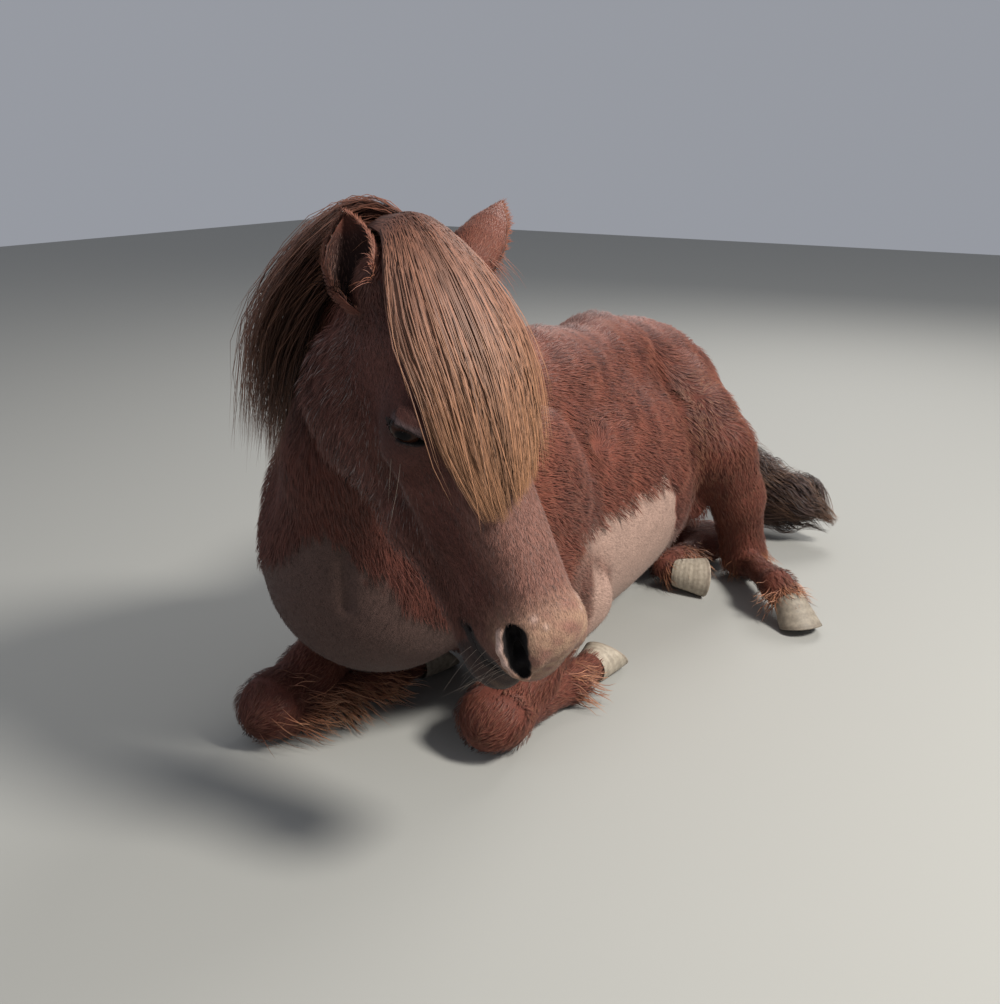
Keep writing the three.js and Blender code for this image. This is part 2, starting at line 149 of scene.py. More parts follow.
TRUNK = joined([
    lump([-12, -110, 244], [182, 330, 246], rolled(8)),
    lump([-30, 90, 236], [200, 280, 222], rolled(20)),
    lump([-18, -420, 285], [178, 170, 180]),
    lump([-30, -490, 235], [150, 110, 130]),
    lump([120, -330, 290], [75, 150, 185]),
    lump([-145, -375, 290], [75, 155, 190]),
    limb([-12, -300, 430], [-25, -60, 424], 80, 86),
    limb([-25, -60, 424], [-48, 180, 412], 86, 90),
    limb([-48, 180, 412], [-50, 310, 390], 90, 92),
    lump([-55, 360, 320], [150, 175, 152], rolled(18)),
    limb([-66, 450, 315], [-66, 505, 262], 80, 66),
    limb([10, 360, 300], [140, 292, 262], 118, 74),
    limb([0, 330, 352], [104, 296, 318], 92, 66),
    limb([-130, 400, 190], [-100, 262, 92], 118, 76),
    limb([20, 240, 170], [118, 270, 150], 60, 30),
], 60)

NECK = joined([
    limb([-20, -330, 445], [45, -470, 590], 64, 46),
    limb([45, -470, 590], [120, -570, 668], 46, 40),
    limb([120, -570, 668], [196, -638, 680], 40, 34),
    limb([-40, -430, 345], [12, -520, 478], 138, 92),
    limb([12, -520, 478], [100, -592, 606], 92, 66),
    limb([100, -592, 606], [175, -632, 654], 66, 50),
    limb([-35, -495, 275], [12, -570, 425], 108, 70),
    limb([12, -570, 425], [120, -628, 590], 70, 46),
], 46)

SKULL = joined([
    lump(in_head(62, 0, -58), [88, 60, 60], HEAD_AXES),
    lump(in_head(125, 0, -40), [92, 70, 46], HEAD_AXES),
    *both(lambda s: limb(in_head(150, 10 * s, -50), in_head(390, 12 * s, -40), 47, 31)),
    *both(lambda s: limb(in_head(220, 8 * s, -92), in_head(380, 10 * s, -78), 44, 37)),
    *both(lambda s: lump(in_head(163, 62 * s, -45), [38, 24, 30], HEAD_AXES)),
    *both(lambda s: limb(in_head(178, 60 * s, -70), in_head(275, 42 * s, -80), 20, 13)),
    *both(lambda s: lump(in_head(112, 46 * s, -130), [84, 30, 78], HEAD_AXES)),
    *both(lambda s: limb(in_head(105, 38 * s, -165), in_head(250, 26 * s, -140), 34, 32)),
    *both(lambda s: limb(in_head(250, 20 * s, -138), in_head(395, 12 * s, -120), 31, 28)),
], 30)

MUZZLE = joined([
    lump(in_head(393, 0, -58), [44, 47, 44], HEAD_AXES),
    lump(in_head(421, 0, -74), [29, 38, 28], HEAD_AXES),
    lump(in_head(414, 0, -128), [39, 38, 30], HEAD_AXES),
    *both(lambda s: lump(in_head(404, 33 * s, -42), [27, 13, 20], HEAD_AXES)),
], 16)

# Joints of each leg from its top down to the pastern, with their radii
LEGS = {
    "fore_left": [[[115, -300, 230], 80], [[122, -185, 140], 60], [[134, -330, 78], 42],
                  [[137, -424, 51], 53], [[140, -410, 36], 32], [[152, -250, 28], 33],
                  [[152, -190, 30], 31]],
    "fore_right": [[[-135, -380, 230], 80], [[-150, -300, 140], 60], [[-142, -480, 74], 42],
                   [[-138, -564, 49], 51], [[-132, -550, 36], 32], [[-92, -385, 28], 33],
                   [[-82, -325, 30], 31]],
    "hind_left": [[[150, 290, 258], 76], [[176, 325, 170], 54], [[190, 352, 44], 45],
                  [[196, 342, 44], 30], [[302, 218, 54], 32], [[326, 200, 46], 29]],
    "hind_right": [[[-100, 262, 90], 76], [[0, 340, 60], 50], [[98, 394, 40], 42],
                   [[98, 380, 40], 29], [[82, 236, 42], 30], [[106, 230, 33], 28]],
}
LEG_SPANS = [(a[0], b[0], a[1], b[1]) for leg in LEGS.values() for a, b in zip(leg, leg[1:])]
LEG_FIELD = joined([limb(*span) for span in LEG_SPANS], 26)

SIDES = {"left": 1, "right": -1}
EYE_RADIUS = 20.0
EYE_AT = np.array([162.0, 66.0, -40.0])
EYE_GAZE = np.array([0.378, 0.876, 0.300])
EYE_SLIT = np.array([0.734, -0.481, 0.480])
LID_RADIUS = 22.8
LASH_RADIUS = 22.5
# How far from the eye's centre each crease of the upper lid runs, how deep, and how wide
LID_CREASES = [(29.5, 1.5, 1.7), (36.0, 1.1, 2.3), (43.0, 0.7, 2.8)]
LID_INSIDE = 19.3
SOCKET_RADIUS = 36
SLIT_HALF_LENGTH = 23.0
SLIT_HALF_HEIGHT = 7.2
NOSTRIL = [[[391, 47, -37], 10.5], [[403, 48, -41], 9.8], [[416, 45, -46], 8.2], [[427, 39, -53], 5.5]]
NOSTRIL_RIM = [[385, 50, -50], [398, 53, -56], [412, 51, -58], [424, 46, -58], [433, 38, -54]]
MOUTH_CORNER = 354
MOUTH_HALF_GAP = 1.3
MOUTH_DEPTH = 8
# Where the coat of the chest turns in a whorl, and the crease below it
WHORL = np.array([130.0, -130.0, 364.0])
CHEST_CREASE = joined(rope([[34, -600, 326], [31, -598, 290], [26, -590, 250]], 1, 1), 4)
CREASE_DEPTH = 7
# Depth of the coat on the body and the legs, and how low the skin comes over the floor
BODY_COAT = 15
LEG_COAT = 9
SKIN_LOWEST = 4
# Batches of points near the face, in head coordinates, get its lids, nostrils and lips
FACE_MIDDLE = [215, 0, -70]
FACE_REACH = [330, 190, 220]


def bump(t):
    """1 up to 0, falling smoothly to 0 at 1."""
    return 1 - rise(t, 0, 1)


def rise(x, low, high):
    """0 below low, 1 above high, smooth between."""
    t = np.clip((x - low) / (high - low), 0, 1)
    return t * t * (3 - 2 * t)


def bell(x, wide):
    """1 at 0, fading away on both sides over about wide."""
    return np.exp(-((x / wide) ** 2))


def faded(a, b, share):
    """a, turning into b as share goes to 1."""
    return a * (1 - share) + b * share


def ripple(p, scale, seed):
    """Cheap smooth noise, about -1 to 1: sine waves in odd directions."""
    r = np.random.default_rng(seed)
    total = np.zeros(len(p))
    for _ in range(7):
        direction = unit(r.normal(size=3))
        wave = 2 * math.pi / scale * r.uniform(0.6, 1.6)
        total += np.sin(p @ direction * wave + r.uniform(0, 6.3))
    return total / 3.5


def head_share(h):
    """1 on the head, 0 on the neck and body, from the head's own coordinates."""
    hx, hy, hz = h.T
    behind = rise(hx + 0.35 * hz, -50, 10)
    return behind * bump((np.abs(hy) - 80) / 40) * rise(hz, -262, -222) * bump((hx - 470) / 40)


def side_point(point, side):
    """A point of the head, on the left as given or mirrored to the right."""
    return np.array([point[0], point[1] * side, point[2]])


def eye_frame(side):
    """The eye's centre, and its slit, upward and outward directions, in head coordinates."""
    gaze = unit(side_point(EYE_GAZE, side))
    slit = unit(side_point(EYE_SLIT, side))
    slit = unit(slit - (slit @ gaze) * gaze)
    return side_point(EYE_AT, side), slit, side * np.cross(slit, gaze), gaze


def lids(h, f):
    """Adds the eyelids with their creases to the field, and opens the slit between them."""
    for side in SIDES.values():
        centre, slit, up, gaze = eye_frame(side)
        q = h - centre
        along, above, out = q @ slit, q @ up, q @ gaze
        r = np.linalg.norm(q, axis=1)
        arch = np.clip(1 - (along / SLIT_HALF_LENGTH) ** 2, -0.5, 1)
        over = rise(above, -2, 8)
        # the upper lid is thicker and stands a little out over the lower one
        f = join(f, r - LID_RADIUS - 1.1 * over * rise(out, 0, 12), 8)
        for crease, depth, wide in LID_CREASES:
            mark = bell(r - crease - 0.08 * along, wide) * over * bump((np.abs(along) - 12) / 22)
            f = f + depth * mark * (out > 0)
        under = bell(r - 30.0, 2.2) * rise(-above, 4, 12) * bump((np.abs(along) - 10) / 20)
        f = f + under * (out > 0)
        middle = 0.9 * arch
        slot = np.abs(above - middle) - SLIT_HALF_HEIGHT * arch
        pocket = np.maximum(np.maximum(slot, LID_INSIDE - r), np.maximum(-out, r - SOCKET_RADIUS))
        f = -join(-f, pocket, 1.8)
    return f


def mouth_height(x):
    """Height of the mouth's line in head coordinates, from its corner to the lips."""
    return -108 + 0.14 * (x - 360)


def nostril_hole(side):
    """The comma of a nostril's opening, with its passage inwards."""
    chain = [(side_point(c, side), r) for c, r in NOSTRIL]
    inner = np.array([-14.0, -13.0 * side, -8.0])
    return joined([limb(a, b, ra, rb) for (a, ra), (b, rb) in zip(chain, chain[1:])]
                  + [limb(c, c + inner, r, 6.0) for c, r in chain[:3]], 4)


def nostril_rim(side, ra, rb, k):
    """The raised edge behind a nostril's opening."""
    return joined(rope([side_point(c, side) for c in NOSTRIL_RIM], ra, rb), k)


def lips_and_nostrils(h, f):
    """Adds the rims of the nostrils to the field, and cuts the nostrils and the line of the mouth."""
    hx, _, hz = h.T
    for side in SIDES.values():
        f = join(f, nostril_rim(side, 4.6, 4.2, 5)(h), 8)
        f = -join(-f, nostril_hole(side)(h), 3.5)
    sheet = np.abs(hz - mouth_height(hx) - 1.5 * np.sin(hx / 14)) - MOUTH_HALF_GAP
    groove = np.maximum(np.maximum(sheet, MOUTH_CORNER - hx), -(f + MOUTH_DEPTH))
    return -join(-f, groove, 3.0)


def coat_depth(h):
    """How far the skin lies under the tips of the coat, in millimetres."""
    hx, _, hz = h.T
    on_head = head_share(h)
    face = on_head * rise(hx, 40, 130) * rise(hz, -175, -120)
    muzzle = on_head * rise(hx, 330, 385)
    depth = BODY_COAT - 5 * on_head - 5.5 * face
    return np.minimum(depth, BODY_COAT - 12 * muzzle)


def head_field(p):
    return join(SKULL(p), MUZZLE(p), 22)


def skin_field(p):
    """The skin: the whole outline, drawn in by the depth of the coat, with the details of the face."""
    h = head_coords(p)
    f = join(TRUNK(p), join(NECK(p), head_field(p), 34), 70)
    crease = CHEST_CREASE(p)
    f = join(f + coat_depth(h) + CREASE_DEPTH * bell(crease, 9), LEG_FIELD(p) + LEG_COAT, 18)
    if (np.abs(h - FACE_MIDDLE).max(0) < FACE_REACH).all():
        f = lids(h, f)
        f = lips_and_nostrils(h, f)
    return np.maximum(f, SKIN_LOWEST - p[:, 2])


# Meshing: surface nets on a grid that is finer round the head. Blocks far from the surface aren't sampled.
FAR_OFF = 50.0


def spaced(low, high, fine_low, fine_high, coarse, fine):
    """Grid lines from low to high, closer together between fine_low and fine_high."""
    return np.concatenate([
        np.arange(low, fine_low, coarse),
        np.arange(fine_low, fine_high, fine),
        np.arange(fine_high, high, coarse),
    ])


def sampled(field, axes, block=10):
    """The field's values on the grid, in blocks."""
    counts = [len(a) for a in axes]
    values = np.full(counts, FAR_OFF, np.float32)
    starts = [np.arange(0, n, block) for n in counts]
    lows = [a[s] for a, s in zip(axes, starts)]
    highs = [a[np.minimum(s + block - 1, len(a) - 1)] for a, s in zip(axes, starts)]
    middles = [(lo + hi) / 2 for lo, hi in zip(lows, highs)]
    halves = [(hi - lo) / 2 for lo, hi in zip(lows, highs)]
    grid = np.stack(np.meshgrid(*middles, indexing="ij"), -1).reshape(-1, 3)
    half = np.linalg.norm(np.stack(np.meshgrid(*halves, indexing="ij"), -1).reshape(-1, 3), axis=1)
    centre = field(grid)
    index = np.stack(np.meshgrid(*starts, indexing="ij"), -1).reshape(-1, 3)
    for (i, j, k), f, reach in zip(index, centre, half):
        part = values[i:i + block, j:j + block, k:k + block]
        if abs(f) > 1.7 * reach + 16:
            part[...] = FAR_OFF if f > 0 else -FAR_OFF
            continue
        x, y, z = axes[0][i:i + block], axes[1][j:j + block], axes[2][k:k + block]
        points = np.stack(np.meshgrid(x, y, z, indexing="ij"), -1).reshape(-1, 3)
        part[...] = field(points).reshape(part.shape)
    return values


CORNERS = np.array([[i, j, k] for i in (0, 1) for j in (0, 1) for k in (0, 1)])
EDGES = [(a, b) for a in range(8) for b in range(a + 1, 8) if np.abs(CORNERS[a] - CORNERS[b]).sum() == 1]


def net(field, axes):
    """Vertices and quads of the field's zero level."""
    values = sampled(field, axes)
    inside = values < 0
    shape = np.array(values.shape) - 1
    count = np.zeros(shape, np.int8)
    for c in CORNERS:
        count += inside[c[0]:c[0] + shape[0], c[1]:c[1] + shape[1], c[2]:c[2] + shape[2]]
    cells = np.argwhere((count > 0) & (count < 8))
    ids = np.full(shape, -1, np.int32)
    ids[tuple(cells.T)] = np.arange(len(cells))
    total = np.zeros((len(cells), 3))
    crossings = np.zeros(len(cells))

    def corner(c):
        at = cells + CORNERS[c]
        place = np.stack([axes[k][at[:, k]] for k in range(3)], 1)
        return values[tuple(at.T)], place

    corners = [corner(c) for c in range(8)]
    for a, b in EDGES:
        (fa, pa), (fb, pb) = corners[a], corners[b]
        crossed = (fa < 0) != (fb < 0)
        t = np.where(crossed, fa / np.where(crossed, fa - fb, 1), 0)
        total += np.where(crossed[:, None], pa + t[:, None] * (pb - pa), 0)
        crossings += crossed
    points = total / crossings[:, None]
    quads = []
    for axis in range(3):
        u, v = (axis + 1) % 3, (axis + 2) % 3
        lower = [slice(None)] * 3
        upper = [slice(None)] * 3
        lower[axis], upper[axis] = slice(0, -1), slice(1, None)
        a, b = inside[tuple(lower)], inside[tuple(upper)]
        changed = np.argwhere(a != b)
        changed = changed[(changed[:, u] > 0) & (changed[:, v] > 0)]
        changed = changed[(changed[:, u] < shape[u]) & (changed[:, v] < shape[v])]
        out = a[tuple(changed.T)]
        step_u, step_v = np.eye(3, dtype=int)[u], np.eye(3, dtype=int)[v]
        ring = [ids[tuple((changed - du * step_u - dv * step_v).T)]
                for du, dv in ((1, 1), (0, 1), (0, 0), (1, 0))]
        quad = np.stack(ring, 1)
        quads.append(np.where(out[:, None], quad, quad[:, ::-1]))
    return points, np.concatenate(quads)


def vertex_normals(points, quads):
    """Normals of the vertices, by the areas of their quads."""
    a, b = points[quads[:, 2]] - points[quads[:, 0]], points[quads[:, 3]] - points[quads[:, 1]]
    face = np.cross(a, b)
    total = np.zeros_like(points)
    for k in range(4):
        for axis in range(3):
            total[:, axis] += np.bincount(quads[:, k], face[:, axis], len(points))
    return unit(total)


def eased(points, quads, rounds, field):
    """Evens out the net along the surface, and puts it back onto the field's zero level."""
    nxt = np.roll(quads, -1, axis=1).ravel()
    flat = quads.ravel()
    degree = np.bincount(flat, minlength=len(points))[:, None]
    for _ in range(rounds):
        mean = np.stack([np.bincount(flat, points[nxt, k], len(points)) for k in range(3)], 1) / degree
        normal = vertex_normals(points, quads)
        move = (mean - points) * 0.6
        slide = move - (move * normal).sum(1, keepdims=True) * normal
        points = points + slide + 0.15 * (move - slide)
    for _ in range(2):
        normal = vertex_normals(points, quads)
        order = np.lexsort(np.floor(points / 40).astype(int).T)
        for chunk in np.array_split(order, max(len(order) // 1500, 1)):
            here, n = points[chunk], normal[chunk]
            f0, f1 = field(here), field(here + 0.5 * n)
            slope = np.maximum((f1 - f0) / 0.5, 0.5)
            points[chunk] = here - n * np.clip(f0 / slope, -1.5, 1.5)[:, None]
    return points


# Grid of the skin: low and high end, and the finer stretch at the head, for x, y and z
GRID_SPANS = [(-280, 420, 150, 390), (-760, 640, -760, -570), (0, 790, 290, 640)]
COARSE, FINE = ((6, 2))
skin_points, skin_quads = net(skin_field, [spaced(*span, COARSE, FINE) for span in GRID_SPANS])
skin_points = eased(skin_points, skin_quads, 3, skin_field)
skin_normals = vertex_normals(skin_points, skin_quads)
print("skin", len(skin_points), len(skin_quads))

# Colours
def tone(r, g, b):
    """A colour by its sRGB numbers, in linear light."""
    c = np.array([r, g, b], float) / 255
    return np.where(c > 0.04045, ((c + 0.055) / 1.055) ** 2.4, c / 12.92)


CHESTNUT = tone(120, 66, 52)
LIVER = tone(78, 42, 36)
RUST = tone(132, 72, 54)
TAN = tone(176, 132, 98)
# Grey-brown of the clipped chest, darkened with painted shade
SHADED_CLIPPED_CHEST = tone(88, 67, 61)
CLIPPED_BELLY = tone(176, 146, 132)
FACE = tone(104, 64, 56)
NOSE = tone(140, 100, 88)
MEALY = tone(170, 138, 114)
LIP = tone(46, 38, 38)
RIM_PINK = tone(212, 184, 174)
# Grey of the upper lid, lightened as a painted highlight along its edge
LID_HIGHLIGHT_GREY = tone(92, 78, 78)
DARK_SKIN = tone(26, 21, 21)
GREY_HAIR = tone(150, 140, 138)
# Outside and inside of the ears; the inside is dark skin, partly painted shade
EAR_OUT, EAR_IN = tone(104, 60, 48), tone(26, 16, 15)
# Where the right knee is darkened with painted shade, as it lies in the shade of the body
RIGHT_KNEE = [-138, -555, 50]
# Small pale spots over each nostril, in head coordinates, with their sizes
NOSE_DOTS = [([380, 32, -18], 4.0), ([391, 26, -13], 3.0)]


def mix(a, b, t):
    """Colours between a and b, where t may differ from point to point."""
    t = np.asarray(t)[..., None] if np.ndim(t) else t
    return a + (b - a) * t


def parts(p):
    """How near a point is to head, neck, trunk and legs, as shares that add up to 1."""
    fields = np.stack([head_field(p), NECK(p), TRUNK(p), LEG_FIELD(p) - 6], 1)
    share = np.exp(-(fields - fields.min(1, keepdims=True)) / 9)
    return share / share.sum(1, keepdims=True)


def zones(p, n):
    """Masks from 0 to 1 for the markings and the kinds of coat."""
    px, py, pz = p.T
    h = head_coords(p)
    hx, hy, hz = h.T
    head, neck, trunk, legs = parts(p).T
    body = trunk + neck
    z = {"h": h, "head": head, "legs": legs, "body": body}
    wobble = ripple(p, 70, 1)
    fine = ripple(p, 18, 2)
    z["muzzle"] = head * rise(hx + 7 * fine + 6 * wobble + 0.12 * np.abs(hy), 346, 404)
    z["lips"] = head * rise(hx, 372, 392) * bump((hz - mouth_height(hx) - 9 - 3 * fine) / 8)
    z["mouth"] = head * rise(hx, 352, 366) * bump((np.abs(hz - mouth_height(hx)) - 5) / 5)
    z["lips"] = np.maximum(z["lips"], z["mouth"])
    z["chin"] = head * rise(hx, 372, 395) * bump((hz - mouth_height(hx) + 16) / 10)
    hole = np.full(len(p), 99.0)
    rim = np.full(len(p), 99.0)
    eye = np.full(len(p), 99.0)
    slit_rim = np.full(len(p), 99.0)
    upper_lid = np.zeros(len(p))
    for side in SIDES.values():
        hole = np.minimum(hole, nostril_hole(side)(h))
        rim = np.minimum(rim, nostril_rim(side, 5, 5, 4)(h))
        centre, slit, up, gaze = eye_frame(side)
        q = h - centre
        along, above, out = q @ slit, q @ up, q @ gaze
        r = np.linalg.norm(q, axis=1)
        eye = np.minimum(eye, r)
        arch = np.clip(1 - (along / SLIT_HALF_LENGTH) ** 2, -1.5, 1)
        gap = np.abs(above - 0.9 * arch) - SLIT_HALF_HEIGHT * arch
        slit_rim = np.where((out > 4) & (r < 34), np.minimum(slit_rim, gap), slit_rim)
        upper_lid = np.maximum(upper_lid, (out > 0) * rise(above, 3, 7) * bump((above - 11) / 5)
                               * bump((np.abs(along) - 14) / 8) * (r < 32))
    z["nostril"] = bump((hole - 1.2) / 1.8)
    z["rim"] = bump((rim - 0.5) / 4) * (1 - z["nostril"])
    z["eye"] = eye
    z["lash_line"] = bump((slit_rim - 0.6) / 2.2)
    z["lid"] = upper_lid
    edge = 258 - 12 * wobble - 6 * fine - 110 * rise(py, 50, 130) - 60 * bump((py + 335) / 70)
    belly = body * bump((pz - edge) / 12) * rise(py + 8 * wobble, -335, -290)
    belly = belly * bump((py - 104 - 14 * wobble) / 40)
    elbow = legs * rise(py, -262, -215) * bump((py + 100) / 50)
    elbow = elbow * rise(pz, 60, 90) * bump((pz - 215) / 20) * rise(n[:, 0], 0, 0.3)
    z["belly"] = np.maximum(belly * bump((np.abs(n[:, 1]) - 0.75) / 0.2), 0.95 * elbow * (px > 90))
    top_edge = np.minimum(334 + 0.62 * px, 334 - 1.3 * (px - 20))
    front = rise(-py - 0.25 * (pz - 300), 450, 500)
    z["chest"] = body * front * bump((pz - top_edge - 9 * fine - 10 * wobble) / 22)
    z["clip"] = np.clip(z["belly"] + z["chest"], 0, 1)
    z["wobble"], z["fine"] = wobble, fine
    return z


def throat_shade(p):
    """1 on the breast and the throat, where the shade of the head is painted in."""
    _, py, pz = p.T
    return rise(-py, 430, 520) * bump((pz - 560) / 120)


def stifle_fold(p, wide, long):
    """1 along the fold of skin in front of the left thigh."""
    px, py, pz = p.T
    return bell(px - 128 + 0.26 * (pz - 323), wide) * bell(py - 245, long)


def markings(p, z):
    """The animal's colour at points of its skin."""
    h = z["h"]
    hx, hy, hz = h.T
    c = mix(CHESTNUT, LIVER, np.clip(0.30 + 0.32 * z["wobble"] + 0.10 * z["fine"], 0, 1))
    c = mix(c, RUST, np.clip(0.35 * ripple(p, 130, 3), 0, 0.6) * z["body"])
    # Painted shade in the fold in front of the left thigh
    c = mix(c, LIVER, 0.6 * stifle_fold(p, 26, 62) * z["body"])
    # Painted shade of the head, darkening the breast and throat
    c = mix(c, mix(LIVER, CHESTNUT, 0.2), 0.8 * throat_shade(p) * z["body"])
    c = mix(c, mix(CHESTNUT, LIVER, 0.35), z["legs"])
    # Painted shade: the right knee is darkened
    knee_shade = bell(np.linalg.norm(p - RIGHT_KNEE, axis=1), 70)
    c = mix(c, LIVER, 0.75 * knee_shade)
    face = mix(FACE, LIVER, np.clip(0.3 + 0.3 * z["wobble"], 0, 1))
    c = mix(c, face, z["head"])
    # The nose bridge's paler hair, made lighter still as painted sunlight on the top of the nose
    lit_bridge = z["head"] * rise(hx, 190, 300) * rise(hz, -60, -22)
    c = mix(c, NOSE, 0.75 * lit_bridge)
    c = mix(c, mix(LIVER, DARK_SKIN, 0.35), 0.75 * bump((z["eye"] - 22) / 26))
    # The clipped chest's grey-brown, darkened by painted shade
    c = mix(c, SHADED_CLIPPED_CHEST, z["chest"])
    c = mix(c, CLIPPED_BELLY, z["belly"])
    mottled = mix(MEALY, NOSE, np.clip(0.35 + 0.5 * z["fine"] + 0.3 * z["wobble"], 0, 0.9))
    c = mix(c, mottled, 0.85 * z["muzzle"])
    dots = sum(bell(np.linalg.norm(h - side_point(at, side), axis=1), size)
               for side in SIDES.values() for at, size in NOSE_DOTS)
    c = mix(c, RIM_PINK, np.clip(0.5 * dots, 0, 0.5))
    # Painted shade on both sides of the muzzle, between the mouth's corner and the nostrils
    painted_muzzle_shade = z["head"] * rise(np.abs(hy), 20, 36) * rise(-hz, 50, 80) * rise(hx, 330, 372)
    painted_muzzle_shade = painted_muzzle_shade * bump((hx - 412) / 24)
    c = mix(c, mix(LIVER, FACE, 0.45), 0.85 * painted_muzzle_shade)
    c = mix(c, LIP, np.clip(z["lips"] + 0.75 * z["chin"], 0, 0.95) * (0.9 + 0.1 * z["fine"]))
    # Painted shade in the slit of the mouth
    c = mix(c, DARK_SKIN, 0.85 * z["mouth"])
    # Painted highlight along the upper lid, over its grey skin
    c = mix(c, LID_HIGHLIGHT_GREY, 0.8 * z["lid"])
    # Pink skin of the nostril rims, brightened as a painted highlight on their upper part
    c = mix(c, RIM_PINK, 0.7 * z["rim"] * (0.75 + 0.25 * z["fine"]) * bump((hx - 412) / 20))
    # Painted shade inside the nostrils; the black rims of the lids are their own colour
    c = mix(c, DARK_SKIN, np.clip(z["nostril"] + z["lash_line"], 0, 1))
    return c


# The lie of the coat
def lie(p, n, z):
    """Which way the hair runs at points of the skin."""
    h = z["h"]
    hx, _, hz = h.T
    flow = np.tile([0.0, 0.85, -0.5], (len(p), 1))
    thigh = rise(p[:, 1], 120, 260)[:, None]
    flow = faded(flow, np.array([0.1, 0.25, -0.95]), thigh)
    front = rise(-p[:, 1], 380, 520)[:, None]
    flow = faded(flow, np.array([0.05, 0.2, -0.95]), front)
    top = rise(n[:, 2], 0.6, 0.9)[:, None]
    flow = faded(flow, np.array([0.0, 1.0, -0.1]), top)
    head_flow = np.tile(HEAD_X, (len(p), 1))
    cheek = (rise(-hz, 60, 120) * bump((hx - 180) / 120))[:, None]
    head_flow = faded(head_flow, 0.55 * HEAD_X - 0.8 * HEAD_Z, cheek)
    jaw = rise(-hz, 120, 170)[:, None]
    head_flow = head_flow * (1 - 0.6 * jaw) + (0.3 * HEAD_X - 0.7 * HEAD_Z) * 0.6 * jaw
    flow = faded(flow, head_flow, z["head"][:, None])
    near = np.full(len(p), 1e9)
    along = np.zeros((len(p), 3))
    for a, b, ra, rb in LEG_SPANS:
        d = limb(a, b, ra, rb)[0](p)
        closer = d < near
        near = np.where(closer, d, near)
        along[closer] = unit(np.subtract(b, a))
    flow = faded(flow, along, z["legs"][:, None])
    away = p - WHORL
    r = np.linalg.norm(away, axis=1)
    swirl = np.exp(-((r / 42) ** 2))[:, None]
    flow = flow * (1 - swirl) + swirl * (0.9 * unit(np.cross(n, away)) + 0.6 * unit(away))
    for axis in range(3):
        flow[:, axis] += 0.22 * ripple(p, 75, 20 + axis) + 0.13 * ripple(p, 22, 30 + axis)
    return unit(flow - (flow * n).sum(1, keepdims=True) * n)


def tube_quads(rings, around):
    """Quads of a tube of rings, each of around points, numbered ring by ring."""
    i, j = np.meshgrid(np.arange(rings - 1), np.arange(around), indexing="ij")
    i, k = i * around, (j + 1) % around
    return np.stack([i + j, i + k, i + around + k, i + around + j], -1).reshape(-1, 4)


def repeated(pattern, count, step):
    """The faces of pattern again for each of count pieces, which have step points each."""
    return (np.arange(count)[:, None, None] * step + np.array(pattern)[None]).reshape(-1, 3)


def woven(parts):
    """Arrays of one row per tuft, put together so that each tuft's points follow each other."""
    return np.stack(parts, 1).reshape(-1, 3)


def patches(roots, normals, local):
    """Each tuft's patch of the bake map, at its root's place."""
    uv = bake_places(roots, normals)[:, None, :] + np.array(local)[None] * PATCH
    return np.clip(uv.reshape(-1, 2), 0, 1)


def laid(flow, normals, spread):
    """Directions of hair: the flow with some spread, kept in the skin's plane."""
    turned = unit(flow + RNG.normal(0, spread, flow.shape))
    return unit(turned - (turned * normals).sum(1, keepdims=True) * normals)


def scatter(points, normals, quads, spacing):
    """Random roots on a mesh, about spacing apart, where spacing is given per vertex (0 for none)."""
    tri = np.concatenate([quads[:, [0, 1, 2]], quads[:, [0, 2, 3]]])
    a, b, c = points[tri[:, 0]], points[tri[:, 1]], points[tri[:, 2]]
    area = np.linalg.norm(np.cross(b - a, c - a), axis=1) / 2
    gap = spacing[tri].mean(1)
    wanted = np.where(spacing[tri].min(1) > 0, area / np.maximum(gap, 0.5) ** 2, 0)
    number = np.floor(wanted + RNG.random(len(tri))).astype(int)
    pick = np.repeat(np.arange(len(tri)), number)
    r1, r2 = RNG.random(len(pick)), RNG.random(len(pick))
    flip = r1 + r2 > 1
    r1[flip], r2[flip] = 1 - r1[flip], 1 - r2[flip]
    w = np.stack([1 - r1 - r2, r1, r2], 1)
    chosen = tri[pick]
    where = (points[chosen] * w[:, :, None]).sum(1)
    normal = unit((normals[chosen] * w[:, :, None]).sum(1))
    return where, normal


PATCH = 0.003


def bake_places(roots, normals):
    """Each root's place on an unwrap of its skin: six flat charts, packed in rows into the unit square."""
    chart = np.abs(normals).argmax(1)
    chart = chart * 2 + (normals[np.arange(len(roots)), chart] > 0)
    flat = np.zeros((len(roots), 2))
    sizes = {}
    for c in range(6):
        here = chart == c
        if not here.any():
            continue
        keep = [k for k in range(3) if k != c // 2]
        xy = roots[here][:, keep]
        flat[here] = xy - xy.min(0)
        sizes[c] = flat[here].max(0) + 1e-6
    order = sorted(sizes, key=lambda c: -sizes[c][1])
    width = math.sqrt(sum(s[0] * s[1] for s in sizes.values())) * 1.2
    width = max(width, max(s[0] for s in sizes.values()))
    x = y = row_height = 0.0
    gap = 0.01 * width
    offsets = {}
    for c in order:
        if x + sizes[c][0] > width + 1e-9:
            x, y, row_height = 0.0, y + row_height + gap, 0.0
        offsets[c] = (x, y)
        x += sizes[c][0] + gap
        row_height = max(row_height, sizes[c][1])
    side = max(width, y + row_height) * 1.02
    for c, (ox, oy) in offsets.items():
        here = chart == c
        flat[here] = (flat[here] + [ox, oy]) / side
    return 0.005 + 0.99 * flat


